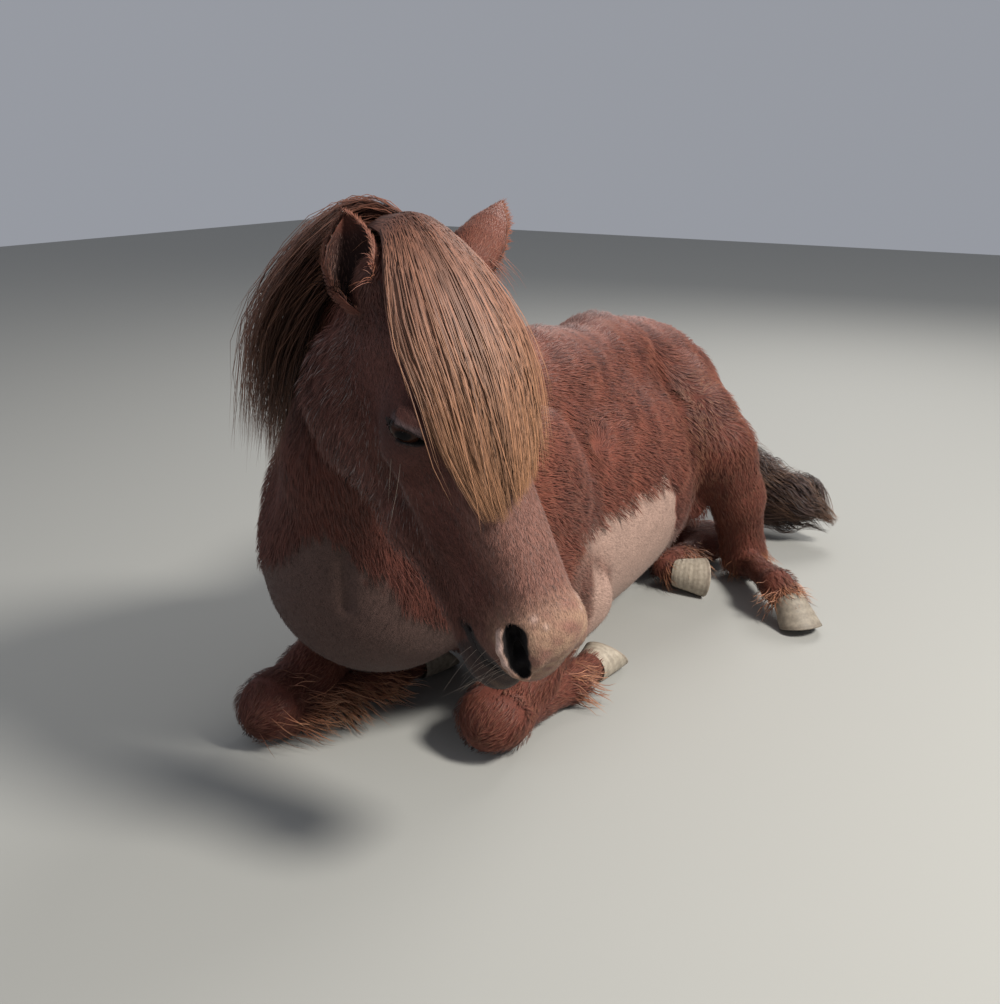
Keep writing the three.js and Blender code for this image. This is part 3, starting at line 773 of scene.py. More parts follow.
def make_piece(name, points, faces, material, tint, normals=None, uv=None, grain=None):
    """A mesh object from arrays. points are in layout millimetres, and the rest is per vertex."""
    mesh = bpy.data.meshes.new(name)
    mesh.vertices.add(len(points))
    mesh.vertices.foreach_set("co", row(points).astype(np.float32).ravel())
    corners = faces.shape[1]
    mesh.loops.add(faces.size)
    mesh.loops.foreach_set("vertex_index", faces.astype(np.int32).ravel())
    mesh.polygons.add(len(faces))
    mesh.polygons.foreach_set("loop_start", np.arange(0, faces.size, corners, dtype=np.int32))
    mesh.update(calc_edges=True)
    mesh.polygons.foreach_set("use_smooth", np.ones(len(faces), bool))
    layer = mesh.attributes.new("tint", "FLOAT_COLOR", "POINT")
    rgba = np.concatenate([np.clip(tint, 0, 1), np.ones((len(points), 1))], 1)
    layer.data.foreach_set("color", rgba.astype(np.float32).ravel())
    if grain is not None:
        layer = mesh.attributes.new("grain", "FLOAT_VECTOR", "POINT")
        layer.data.foreach_set("vector", grain.astype(np.float32).ravel())
    if uv is not None:
        layer = mesh.uv_layers.new(name="OFBake")
        layer.uv.foreach_set("vector", uv[faces.ravel()].astype(np.float32).ravel())
    if normals is not None:
        mesh.normals_split_custom_set_from_vertices(unit(normals).astype(np.float32))
    mesh.materials.append(material)
    obj = bpy.data.objects.new(name, mesh)
    bpy.context.scene.collection.objects.link(obj)
    return obj


def tufts(roots, normals, flow, length, width, lift, tint, tip_tint, clump=0.0, pull=0.0):
    """Closed spindles of six triangles, lying along the flow. Returns arrays for make_piece."""
    n = len(roots)
    angle = np.radians(lift * RNG.uniform(0.6, 1.4, n))[:, None]
    turned = laid(flow, normals, 0.16)
    size = (length * RNG.uniform(0.7, 1.2, n))[:, None]
    start = roots - normals * 0.8
    middle = start + size * (0.5 * turned * np.cos(angle) + 0.5 * normals * np.sin(angle) * 1.35)
    tip = start + size * (turned * np.cos(angle) + normals * np.sin(angle))
    if clump:
        swayed = roots + 4 * np.stack([ripple(roots, 30, 50 + k) for k in range(3)], 1)
        _, group = np.unique(np.floor(swayed / clump).astype(int), axis=0, return_inverse=True)
        group = group.ravel()
        held = np.bincount(group)[:, None]
        gathered = np.stack([np.bincount(group, tip[:, k]) for k in range(3)], 1) / held
        tip += (gathered[group] - tip) * pull
        middle += (gathered[group] - tip) * pull * 0.25
    side = unit(np.cross(normals, turned)) * (width / 2)[:, None]
    top = normals * (width * 0.4)[:, None]
    points = woven([start, middle - side, middle + side, middle + top, tip])
    s = unit(side)
    shade = woven([normals, normals - 0.7 * s, normals + 0.7 * s, normals + 0.1 * turned,
                   normals + 0.35 * turned])
    faces = repeated([[0, 1, 3], [0, 3, 2], [0, 2, 1], [4, 3, 1], [4, 2, 3], [4, 1, 2]], n, 5)
    colours = woven([tint * 0.55, tint * 0.95, tint * 0.95, tint, mix(tint, tip_tint, 0.8)])
    local = [[0, -0.5], [-0.4, 0], [0.4, 0], [0, 0.1], [0, 0.5]]
    return points, faces, colours, shade, patches(roots, normals, local)


def needles(roots, normals, flow, length, width, lift, tint, tip_tint):
    """Closed four-sided slivers for short hair."""
    n = len(roots)
    angle = np.radians(lift * RNG.uniform(0.6, 1.5, n))[:, None]
    turned = laid(flow, normals, 0.14)
    size = (length * RNG.uniform(0.7, 1.25, n))[:, None]
    start = roots - normals * 0.4
    tip = start + size * (turned * np.cos(angle) + normals * np.sin(angle))
    side = np.cross(normals, turned) * (width / 2)[:, None]
    up = (normals * 0.8 - turned * 0.2) * (width * 0.8)[:, None]
    points = woven([start - side, start + side, start + up, tip])
    s = unit(side)
    shade = woven([normals - 0.5 * s, normals + 0.5 * s, normals, normals + 0.3 * turned])
    faces = repeated([[0, 3, 2], [2, 3, 1], [1, 3, 0], [0, 2, 1]], n, 4)
    colours = woven([tint * 0.75, tint * 0.75, tint * 0.9, mix(tint, tip_tint, 0.7)])
    local = [[-0.4, -0.5], [0.4, -0.5], [0, -0.3], [0, 0.5]]
    return points, faces, colours, shade, patches(roots, normals, local)


def strands(paths, outward, width, colours, softness=0.5):
    """Tapering three-sided hairs along paths (strand, point, xyz), closed at both ends."""
    n, k = paths.shape[:2]
    tangent = unit(np.gradient(paths, axis=1))
    out = unit(outward - (outward * tangent).sum(-1, keepdims=True) * tangent)
    side = np.cross(tangent, out)
    w = width[:, :-1, None]
    body, s, o = paths[:, :-1], side[:, :-1], out[:, :-1]
    ring = np.stack([body - s * w / 2, body + s * w / 2, body + o * w * 0.45], 2)
    shade = np.stack([o - softness * s, o + softness * s, o], 2)
    per = (k - 1) * 3 + 1
    points = np.concatenate([ring.reshape(n, -1, 3), paths[:, -1:]], 1).reshape(-1, 3)
    shade = np.concatenate([shade.reshape(n, -1, 3), out[:, -1:]], 1).reshape(-1, 3)
    c = np.concatenate([np.repeat(colours[:, :-1], 3, axis=1), colours[:, -1:]], 1).reshape(-1, 3)
    pattern = [[0, 1, 2]]
    for r in range(k - 2):
        for a, b in ((0, 2), (2, 1), (1, 0)):
            p0, p1, q0, q1 = 3 * r + a, 3 * r + b, 3 * r + 3 + a, 3 * r + 3 + b
            pattern += [[p0, p1, q1], [p0, q1, q0]]
    last, end = 3 * (k - 2), per - 1
    pattern += [[last, last + 2, end], [last + 2, last + 1, end], [last + 1, last, end]]
    local = [[x, g] for g in np.linspace(-0.5, 0.5, k - 1) for x in (-0.4, 0.4, 0.0)] + [[0, 0.5]]
    return points, repeated(pattern, n, per), c, shade, patches(paths[:, 0], unit(outward[:, 0]), local)


# Materials
class Finish:
    """A procedural material around one Principled shader."""

    def __init__(self, name, **inputs):
        self.material = bpy.data.materials.new(name)
        self.material.use_nodes = True
        self.nodes = self.material.node_tree.nodes
        self.shader = self.nodes["Principled BSDF"]
        self.set(self.shader, **inputs)

    def set(self, node, **inputs):
        """Sets a node's inputs, to a number or to another node's output."""
        for key, value in inputs.items():
            socket = node.inputs[key.replace("_", " ")]
            if isinstance(value, bpy.types.NodeSocket):
                self.material.node_tree.links.new(value, socket)
            else:
                socket.default_value = value
        return node

    def add(self, kind, **inputs):
        return self.set(self.nodes.new("ShaderNode" + kind), **inputs)

    def attribute(self, name, output="Color"):
        node = self.add("Attribute")
        node.attribute_name = name
        return node.outputs[output]

    def noise(self, scale, detail, vector=None):
        if vector is None:
            vector = self.add("TexCoord").outputs["Object"]
        return self.add("TexNoise", Scale=scale, Detail=detail, Vector=vector).outputs["Fac"]

    def darkened(self, colour, factor, low, high, strength):
        """The colour times a grey: low as (factor, grey), then rising to high."""
        greys = self.add("ValToRGB", Fac=factor)
        for element, (at, level) in zip(greys.color_ramp.elements, (low, high)):
            element.position = at
            element.color = (level, level, level, 1)
        node = self.add("Mix")
        node.data_type = "RGBA"
        node.blend_type = "MULTIPLY"
        self.set(node, Factor=strength, A=colour, B=greys.outputs["Color"])
        return node.outputs["Result"]

    def relief(self, height, strength, distance):
        made = self.add("Bump", Strength=strength, Distance=distance, Height=height)
        self.set(self.shader, Normal=made.outputs["Normal"])

    def rough(self, factor, low, high):
        made = self.add("MapRange", To_Min=low, To_Max=high, Value=factor)
        self.set(self.shader, Roughness=made.outputs["Result"])


def coat_material(name, roughness, speckle, sheen):
    finish = Finish(name, Roughness=roughness, Specular_IOR_Level=0.3)
    finish.set(finish.shader, Sheen_Weight=sheen, Sheen_Roughness=0.45)
    tint = finish.attribute("tint")
    colour = finish.darkened(tint, finish.noise(speckle, 3), (0.3, 0.72), (0.7, 1.0), 0.8)
    finish.set(finish.shader, Base_Color=colour)
    return finish.material


def skin_material():
    finish = Finish("skin", Roughness=0.7, Sheen_Weight=0.03, Sheen_Roughness=0.5, Specular_IOR_Level=0.2)
    hairs = finish.noise(900, 3, finish.attribute("grain", "Vector"))
    pores = finish.noise(700, 2)
    blotches = finish.noise(45, 4)
    colour = finish.darkened(finish.attribute("tint"), hairs, (0.35, 0.5), (0.62, 1), 0.75)
    colour = finish.darkened(colour, blotches, (0.3, 0.75), (0.65, 1), 0.6)
    finish.set(finish.shader, Base_Color=colour)
    height = finish.add("Math")
    height.operation = "MULTIPLY_ADD"
    height.inputs[1].default_value = 0.45
    finish.material.node_tree.links.new(pores, height.inputs[0])
    finish.material.node_tree.links.new(hairs, height.inputs[2])
    finish.relief(height.outputs[0], 0.5, 0.0012)
    finish.rough(blotches, 0.55, 0.85)
    return finish.material


def horn_material():
    finish = Finish("horn", Roughness=0.55, Specular_IOR_Level=0.4)
    streaks = finish.noise(160, 5)
    scuffs = finish.noise(900, 3)
    colour = finish.darkened(finish.attribute("tint"), streaks, (0.3, 0.6), (0.65, 1), 0.8)
    finish.set(finish.shader, Base_Color=colour)
    finish.relief(scuffs, 0.4, 0.001)
    finish.rough(streaks, 0.4, 0.75)
    return finish.material


def eye_material():
    finish = Finish("eye", Roughness=0.12, IOR=1.2)
    colour = finish.darkened(finish.attribute("tint"), finish.noise(500, 4), (0.3, 0.55), (0.7, 1), 0.7)
    finish.set(finish.shader, Base_Color=colour)
    return finish.material


SKIN = skin_material()
COAT = coat_material("coat", 0.55, 220, 0.04)
LONG_HAIR = coat_material("long_hair", 0.5, 120, 0.03)
HORN = horn_material()
EYE = eye_material()


# Ears: a cup of skin, thin at the rim, turned the way its opening faces
EAR_PLACES = {
    "left": ([203, -580, 668], [193, -500, 732], [0.2, 0.95, 0.1]),
    "right": ([152, -690, 654], [108, -656, 724], [0.45, -0.9, 0.1]),
}
EAR_HEIGHTS = [-0.5, -0.2, 0.05, 0.3, 0.6, 0.85, 1.0]
EAR_WIDTHS = [5, 24, 31, 33, 26, 13, 2.6]
EAR_ROWS, EAR_COLUMNS = 31, 25
EAR_RING = 2 * EAR_COLUMNS


def ear_axes(place):
    """An ear's base and tip, its axis, and the way that its opening faces."""
    base, tip, opening = map(np.array, place)
    axis = unit(tip - base)
    return base, tip, axis, unit(opening - (opening @ axis) * axis)


def ear_point(place, t, a, shrink):
    """A point of an ear's wall, at height t and angle a from its back, shrink in from its true outline."""
    base, tip, axis, front = ear_axes(place)
    side = np.cross(front, axis)
    width = np.interp(t, EAR_HEIGHTS, EAR_WIDTHS)
    inward = HEAD_Y * (-math.copysign(1, place[2][1]))
    centre = base + (tip - base) * t[..., None] + front * (width * 0.35 * np.maximum(t, -0.2))[..., None]
    centre = centre + inward * (46 * np.maximum(-t, 0))[..., None]
    angle = a * (2.3 - 0.9 * np.maximum(t, 0))
    r = np.maximum(width - shrink, 0.4)[..., None]
    return centre + r * (np.sin(angle)[..., None] * side - np.cos(angle)[..., None] * front)


def ear_shell(place):
    """Quads of an ear's outer and inner wall, joined along the rim."""
    heights, angles = np.linspace(-0.5, 1.0, EAR_ROWS), np.linspace(-1, 1, EAR_COLUMNS)
    t, a = np.meshgrid(heights, angles, indexing="ij")
    outer = ear_point(place, t, a, 1.5)
    inner = ear_point(place, t, a[:, ::-1] * 0.97, 4.0)
    return np.concatenate([outer, inner], 1).reshape(-1, 3), tube_quads(EAR_ROWS, EAR_RING)


def inside_ear(count):
    """Which of an ear's points are on its inner wall."""
    return (np.arange(count) % EAR_RING) >= EAR_COLUMNS


ears = {side: ear_shell(place) for side, place in EAR_PLACES.items()}
all_points, all_quads = skin_points, skin_quads
for ear_points, ear_quads in ears.values():
    all_quads = np.concatenate([all_quads, ear_quads + len(all_points)])
    all_points = np.concatenate([all_points, ear_points])

skin_zones = zones(skin_points, skin_normals)
skin_tint = markings(skin_points, skin_zones)


def ear_tints(points):
    height = np.repeat(np.linspace(-0.5, 1, EAR_ROWS), EAR_RING)
    # The inside is dark skin, made darker lower down the cup as painted shade
    c = mix(EAR_OUT, EAR_IN, inside_ear(len(points)) * (1 - 0.3 * height))
    return mix(c, RUST, 0.4 * rise(height, 0.7, 1.0))


def grain_of(p, z):
    """Coordinates for the noise of the skin's short hairs, squeezed so that the noise runs along them."""
    h = z["h"]
    hx, hy, hz = h.T
    face = np.stack([hx * 0.14, hy, hz], 1)
    lean = np.array([0, 0.86, -0.5])
    body = p - 0.86 * (p @ lean)[:, None] * lean
    return mix(body, face, z["head"]) / 1000


tints = np.concatenate([skin_tint] + [ear_tints(p) for p, _ in ears.values()])
grain = np.concatenate([grain_of(skin_points, skin_zones)] + [p / 1000 for p, _ in ears.values()])
skin = make_piece("skin", all_points, all_quads, SKIN, tints, grain=grain)
FLESH = ["head", "neck", "trunk", "ear_left", "ear_right"]
FLESH += [f"{leg}_{part}" for leg in LEGS for part in ("upper", "lower")]
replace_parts(skin, *FLESH)
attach(skin, "root")

# How low hair and hooves come over the floor, in millimetres
HAIR_LOWEST = 0.6
HOOF_LOWEST = 0.5


def add_coat(name, made, material):
    """Makes a piece of hair from what tufts, needles or strands return."""
    points, faces, colours, shade, uv = made
    points[:, 2] = np.maximum(points[:, 2], HAIR_LOWEST)
    piece = make_piece(name, points, faces, material, colours, shade, uv)
    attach(piece, "root")
    print(name, len(faces))
    return piece


# The coat of short and shaggy hair
BODY_SPACING = 3.95
SHORT_SPACING = 2.08
# Hair over one length is in tufts, hair under the other in fine needles, and between them in both
LONG_FROM = 9.0
SHORT_UP_TO = 15.0
# Skin lower than this that faces down lies on the floor and has no coat
RESTS_BELOW = 9


def coat_of(p, n, z):
    """Length and lift of the hair at points of the skin, in millimetres and degrees, and where it differs."""
    _, py, pz = p.T
    h = z["h"]
    hx, _, hz = h.T
    back = rise(n[:, 2], 0.45, 0.9) * z["body"]
    length = 23 - 7 * back + 4 * z["wobble"]
    thigh = rise(py, 150, 260) * z["body"]
    length = length + 5 * thigh
    fringe = z["body"] * bell(pz - 268, 16) * rise(py, -330, -290) * bump((py - 100) / 60)
    length = length + 14 * fringe
    length = mix(length[:, None], (19 + 3 * z["wobble"])[:, None], z["legs"])[:, 0]
    jaw = z["head"] * rise(-hz, 120, 165) * bump((hx - 330) / 60)
    face = z["head"] * (1 - jaw)
    cheek = rise(-hz, 70, 130)
    head_length = 6.5 + 9 * cheek + 6 * bump(hx / 90) + 12 * jaw
    length = faded(length, head_length, z["head"])
    length = faded(length, 6, z["clip"])
    length = faded(length, 3, z["muzzle"])
    length = length * (1 - 0.55 * bump((z["eye"] - 26) / 24))
    lift = 15 + 5 * z["wobble"] + 8 * fringe + 6 * jaw
    lift = faded(lift, 16, face)
    bare = np.maximum.reduce([z["nostril"], z["lash_line"], z["rim"] * 0.8, z["mouth"] * 0.9, z["lid"]])
    return {"length": length, "lift": lift, "bare": bare, "fringe": fringe, "jaw": jaw}


def spacings():
    """Distance between long and between short hairs at the skin's points, 0 where there are none."""
    hair = coat_of(skin_points, skin_normals, skin_zones)
    length = hair["length"]
    covered = (skin_normals[:, 2] >= -0.6) | (skin_points[:, 2] >= RESTS_BELOW)
    under = 1 + 0.6 * rise(-skin_normals[:, 2], 0.3, 0.8)
    long = BODY_SPACING * np.clip(0.72 + length / 85, 0.75, 1.15) * under
    place = np.where(skin_zones["head"] > 0.5, 0.92, 1.25)
    short = SHORT_SPACING * (1 + 0.75 * skin_zones["clip"]) * place
    is_short = (length <= SHORT_UP_TO) & (hair["bare"] < 0.6)
    return np.where((length > LONG_FROM) & covered, long, 0), np.where(is_short & covered, short, 0)


long_spacing, short_spacing = spacings()


def rooted(spacing):
    where, normal = scatter(skin_points, skin_normals, skin_quads, spacing)
    return where, normal, zones(where, normal)


def grey_in(z, count):
    """Which hairs are the stray grey ones of the cheeks and throat."""
    h = z["h"]
    hx, _, hz = h.T
    cheek = z["head"] * rise(-hz, 55, 100) * bump((hx - 210) / 80)
    return RNG.random(count) < 0.10 * cheek


def hair_colours(p, z):
    """Colours of hairs at their base and their tip."""
    count = len(p)
    base = markings(p, z)
    h = z["h"]
    hx, hy, hz = h.T
    drawn = np.stack([hx * 0.25, hy, hz], 1)
    streaks = z["head"] * (0.26 * ripple(drawn, 7, 61) + 0.2 * ripple(drawn, 3.6, 62))
    uneven = RNG.uniform(0.66, 1.2, count) * (1 + 0.12 * ripple(p, 9, 60)) * np.clip(1 + streaks, 0.5, 1.6)
    base = base * uneven[:, None]
    # Fewer reddish and tan tips where the hair is clipped, and on the throat as painted shade of the head
    keep_dark = (1 - z["clip"]) * (1 - 0.8 * throat_shade(p))
    reddish = mix(base, mix(RUST, TAN, 0.3), 0.3 * z["body"] * keep_dark * RNG.random(count))
    ticked = 0.14 * keep_dark * (1 - z["muzzle"]) + 0.55 * stifle_fold(p, 34, 70) * z["body"]
    ticked = ticked + 0.2 * z["legs"]
    tip = mix(reddish, TAN, ticked) * 1.15
    # Pale tips on the nose bridge: partly grey hairs, partly painted sheen
    lit_bridge = z["head"] * rise(hx, 150, 260) * rise(hz, -70, -30)
    pale = RNG.random(count) < 0.5 * lit_bridge * np.clip(0.6 + 1.5 * ripple(drawn, 5, 63), 0, 1.4)
    tip[pale] = mix(tip[pale], GREY_HAIR, 0.6)
    clipped = (z["clip"] > 0.5) & (RNG.random(count) < 0.3)
    tip[clipped] = mix(tip[clipped], LIVER, 0.7)
    grey = grey_in(z, count)
    base[grey] = mix(base[grey], GREY_HAIR, 0.5)
    tip[grey] = mix(tip[grey], GREY_HAIR, 0.6)
    return base, tip


def dress(name, where, normal, z, slot):
    """Shaggy coat in tufts."""
    hair = coat_of(where, normal, z)
    flow = lie(where, normal, z) + (0.9 * hair["fringe"] + 0.3 * hair["jaw"])[:, None] * DOWN
    flow = unit(flow)
    flow = unit(flow - 0.85 * (flow * normal).sum(1, keepdims=True) * normal)
    base, tip = hair_colours(where, z)
    width = np.clip(0.65 + hair["length"] * 0.022, 0.8, 1.35) * RNG.uniform(0.7, 1.25, len(where))
    made = tufts(where, normal, flow, hair["length"], width, hair["lift"], base, tip, 11.0, 0.34)
    add_coat(name, made, COAT)


def dress_finely(name, where, normal, z):
    """Short coat in needles."""
    hair = coat_of(where, normal, z)
    flow = lie(where, normal, z)
    base, tip = hair_colours(where, z)
    width = np.clip(0.42 + hair["length"] * 0.03, 0.45, 0.8) * RNG.uniform(0.8, 1.2, len(where))
    made = needles(where, normal, flow, hair["length"], width, hair["lift"] + 4, base, tip)
    add_coat(name, made, COAT)


def only(mask, where, normal, z):
    return where[mask], normal[mask], {k: v[mask] for k, v in z.items()}


where, normal, z = rooted(long_spacing)
kind = np.stack([z["head"], z["legs"], z["body"]], 1).argmax(1)
left, behind = where[:, 0] > -20, where[:, 1] > 60
masks = {
    "coat_head": kind == 0,
    "coat_legs": kind == 1,
    "coat_chest_left": (kind == 2) & left & ~behind,
    "coat_chest_right": (kind == 2) & ~left & ~behind,
    "coat_hips_left": (kind == 2) & left & behind,
    "coat_hips_right": (kind == 2) & ~left & behind,
}
for name, mask in masks.items():
    dress(name, *only(mask, where, normal, z), "leg_coat" if name == "coat_legs" else "chestnut_coat")

where, normal, z = rooted(short_spacing)
for name, mask in {"coat_face": z["head"] > 0.5, "coat_clipped": z["head"] <= 0.5}.items():
    dress_finely(name, *only(mask, where, normal, z))


# Ears: short fur outside, long hair along the rim and inside
def ear_fur(place, points, quads):
    base, tip, axis, front = ear_axes(place)
    spacing = np.where(inside_ear(len(points)), 5.0, 2.6) * 1
    where, normal = scatter(points, vertex_normals(points, quads), quads, spacing)
    height = (where - base) @ axis / np.linalg.norm(tip - base)
    inner = (normal * (where - (base + np.outer(height, tip - base)))).sum(1) < 0
    outer_flow = unit(axis + 0.15 * normal - (normal @ axis)[:, None] * normal)
    rim_way = axis + 0.3 * front
    rim_flow = unit(rim_way - (normal @ rim_way)[:, None] * normal)
    flow = np.where(inner[:, None], rim_flow, outer_flow)
    count = len(where)
    length = np.where(inner, 15 * (1.1 - np.clip(height, 0, 1)), 7.5)
    # Hair inside the ear takes the dark of the inside, partly painted shade
    colour = mix(mix(EAR_OUT, RUST, 0.35 * RNG.random(count)), EAR_IN, inner * 0.6)
    colour = colour * RNG.uniform(0.75, 1.2, (count, 1))
    lift = np.where(inner, 24, 12)
    return tufts(where, normal, flow, length, np.full(count, 0.9), lift, colour, mix(colour, TAN, 0.25))


def ear_fringe(place):
    """The rim's fringe, and as the first quarter the tufts that spill out low in the opening."""
    base, tip, axis, front = ear_axes(place)
    n, k = 800, 5
    t = RNG.random(n) ** 0.8 * 0.98
    a = RNG.choice([-1.0, 1.0], n)
    low = np.arange(n) < n // 4
    t[low] = RNG.uniform(-0.05, 0.22, low.sum())
    a[low] = RNG.uniform(-1, 1, low.sum())
    roots = ear_point(place, t, a, np.where(low, 5.0, 2.5))
    middle = base + (tip - base) * t[:, None]
    outwards = unit(roots - middle + 1e-3)
    go = unit(0.45 * front + 0.95 * axis - 0.15 * outwards + RNG.normal(0, 0.2, (n, 3)))
    go[low] = unit(front + 0.25 * axis + RNG.normal(0, 0.3, (low.sum(), 3)))
    reach = np.where(low, RNG.uniform(16, 40, n), RNG.uniform(6, 13, n))[:, None, None]
    s = np.linspace(0, 1, k)[None, :, None]
    sag = np.where(low, 0.45, 0.1)[:, None, None] * reach * s ** 2 * DOWN
    paths = roots[:, None] + go[:, None] * reach * s + sag
    colour = mix(mix(EAR_OUT, TAN, 0.35 * RNG.random(n)), RUST, 0.4)
    colours = colour[:, None] * np.linspace(0.7, 1.25, k)[None, :, None]
    widths = (1 - 0.85 * s[..., 0]) * np.ones((n, 1))
    return strands(paths, np.broadcast_to(outwards[:, None], paths.shape), widths, colours)


for side_name, (ear_points, ear_quads) in ears.items():
    place = EAR_PLACES[side_name]
    add_coat(f"coat_ear_{side_name}", ear_fur(place, ear_points, ear_quads), COAT)
    add_coat(f"ear_fringe_{side_name}", ear_fringe(place), COAT)


# Long hair. TURN is a whole turn, for the phase of a wave
TURN = 6.3


def curve_at(guide, t):
    """Points at t (0 to 1) along a smooth curve through a guide's points."""
    guide = np.asarray(guide, float)
    n = len(guide) - 1
    x = np.clip(t, 0, 1) * n
    i = np.minimum(x.astype(int), n - 1)
    u = (x - i)[..., None]
    p1, p2 = guide[i], guide[i + 1]
    p0 = np.where((i > 0)[..., None], guide[np.maximum(i - 1, 0)], 2 * p1 - p2)
    p3 = np.where((i < n - 1)[..., None], guide[np.minimum(i + 2, n)], 2 * p2 - p1)
    return 0.5 * (2 * p1 + (p2 - p0) * u + (2 * p0 - 5 * p1 + 4 * p2 - p3) * u * u
                  + (3 * p1 - p0 - 3 * p2 + p3) * u ** 3)


# Guides of the forelock from root to tip in head coordinates, from the right eye's side to the left's
FORELOCK = np.array([
    [[-46, 2, -66], [-26, -8, -38], [11, -34, -24], [78, -57, -22],
     [143, -65, -10], [208, -61, -16], [276, -43, -18]],
    [[-50, 16, -60], [-30, 4, -26], [18, -16, -4], [90, -30, 8],
     [155, -34, 10], [220, -34, 2], [284, -32, -8]],
    [[-50, 30, -56], [-30, 16, -20], [28, 12, 6], [95, 8, 18],
     [160, 2, 20], [222, -6, 10], [274, -18, 0]],
    [[-48, 42, -56], [-26, 30, -20], [32, 44, 4], [92, 58, 8],
     [150, 56, 8], [206, 42, -2], [258, 14, 0]],
    [[-42, 54, -58], [-20, 42, -24], [38, 62, -8], [90, 80, -6],
     [145, 84, -12], [196, 68, -16], [242, 32, -8]],
], float)


def forelock_points(across, along, depth):
    """Places in the forelock: across and along it from 0 to 1, and depth from 0 inside to 1 outside."""
    rows = np.stack([curve_at(g, along) for g in FORELOCK], 0)
    x = np.clip(across, 0, 1) * (len(FORELOCK) - 1)
    i = np.minimum(x.astype(int), len(FORELOCK) - 2)
    u = x - i
    u = (u * u * (3 - 2 * u) * 0.35 + u * 0.65)
    pick = np.arange(len(across))[:, None], np.arange(along.shape[1])[None]
    a = rows[i[:, :1], pick[0], pick[1]]
    b = rows[i[:, :1] + 1, pick[0], pick[1]]
    centre = a + (b - a) * u[:, :1, None]
    lean = (np.clip(across, -0.2, 1.2) - 0.42)[:, :1, None] * 1.5
    outward = unit(np.concatenate([np.zeros_like(lean), lean, np.ones_like(lean)], 2)) * np.ones_like(centre)
    radius = ((17 - 8.5 * along) * (0.35 + 0.65 * rise(along, 0, 0.25)))[..., None]
    edge = np.clip(np.abs(across[:, :1, None] - 0.5) * 2 - 0.72, 0, 1) * 1.2
    return centre + outward * radius * (depth[:, None, None] * (1 - edge) * 1.05 - 0.1), outward


def hair_tones(points, palette, streak, fade):
    """Colours of long hairs, from root to middle to tip of the palette, each hair times its own streak."""
    t = np.linspace(0, 1, points)[None, :, None]
    root, middle, tip = palette
    c = root + (middle - root) * np.clip(t / fade, 0, 1)
    c = c + (tip - c) * np.clip((t - fade) / (1 - fade), 0, 1)
    return c * streak[:, None, None]


def tapering(low, high, count, s, full=1.15, power=3):
    """Widths of hairs along s: from low to high at the root, and thin at the tip."""
    return RNG.uniform(low, high, count)[:, None] * np.clip(full - s ** power, 0.12, 1)


def make_forelock():
    locks, n, k = 120, 4200, 9
    lock_across = np.sort(RNG.random(locks))
    lock = RNG.integers(0, locks, n)
    loose = RNG.normal(0, 0.02, n)
    depth = RNG.random(n) ** 0.6
    start = RNG.uniform(0.0, 0.14, n)
    end = np.clip(RNG.normal(0.9, 0.08, n) + RNG.normal(0, 0.05, locks)[lock], 0.5, 1.04)
    s = np.linspace(0, 1, k)[None]
    along = start[:, None] + (end - start)[:, None] * s
    tight = 1 - 0.55 * s ** 1.5
    wave = 0.014 * np.sin(s * 6 + RNG.uniform(0, TURN, locks)[lock][:, None]) * s
    wave = wave + 0.006 * np.sin(s * RNG.uniform(8, 20, n)[:, None] + RNG.uniform(0, TURN, n)[:, None]) * s
    stray = RNG.normal(0, 0.022, n) * (RNG.random(n) < 0.35)
    across = lock_across[lock][:, None] + (loose + RNG.normal(0, 0.006, n))[:, None] * tight * 1.4 + wave
    across = across + stray[:, None] * s + (RNG.normal(0, 0.012, locks)[lock])[:, None] * s
    h, out = forelock_points(across, along, depth)
    h[..., 1] += (RNG.normal(0, 1.6, n)[:, None] * s ** 2) * 1.5
    spill = (RNG.random(n) < 0.14)[:, None] * s ** 2
    h[..., 1] += spill * RNG.normal(0, 13, n)[:, None]
    h[..., 2] += spill * RNG.uniform(-2, 9, n)[:, None]
    paths = to_layout(h)
    # Hairs deeper in the forelock are darker: painted shade
    streak = RNG.uniform(0.55, 1.2, locks)[lock] * RNG.uniform(0.7, 1.15, n) * (0.5 + 0.55 * depth)
    colours = hair_tones(k, (tone(78, 46, 38), tone(138, 96, 76), tone(162, 116, 82)), streak, 0.5)
    return strands(paths, out @ HEAD_AXES, tapering(0.8, 1.5, n, s), colours, 0.7)


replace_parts(add_coat("forelock_hair", make_forelock(), LONG_HAIR), "forelock")

# The crest of the neck, and how the mane falls from it
CREST = [[162, -604, 702], [110, -552, 686], [52, -474, 636], [12, -395, 568], [-18, -310, 505]]
MANE_FALL = [[0, 0, 0], [-60, -34, 4], [-120, -86, -92], [-134, -104, -225]]


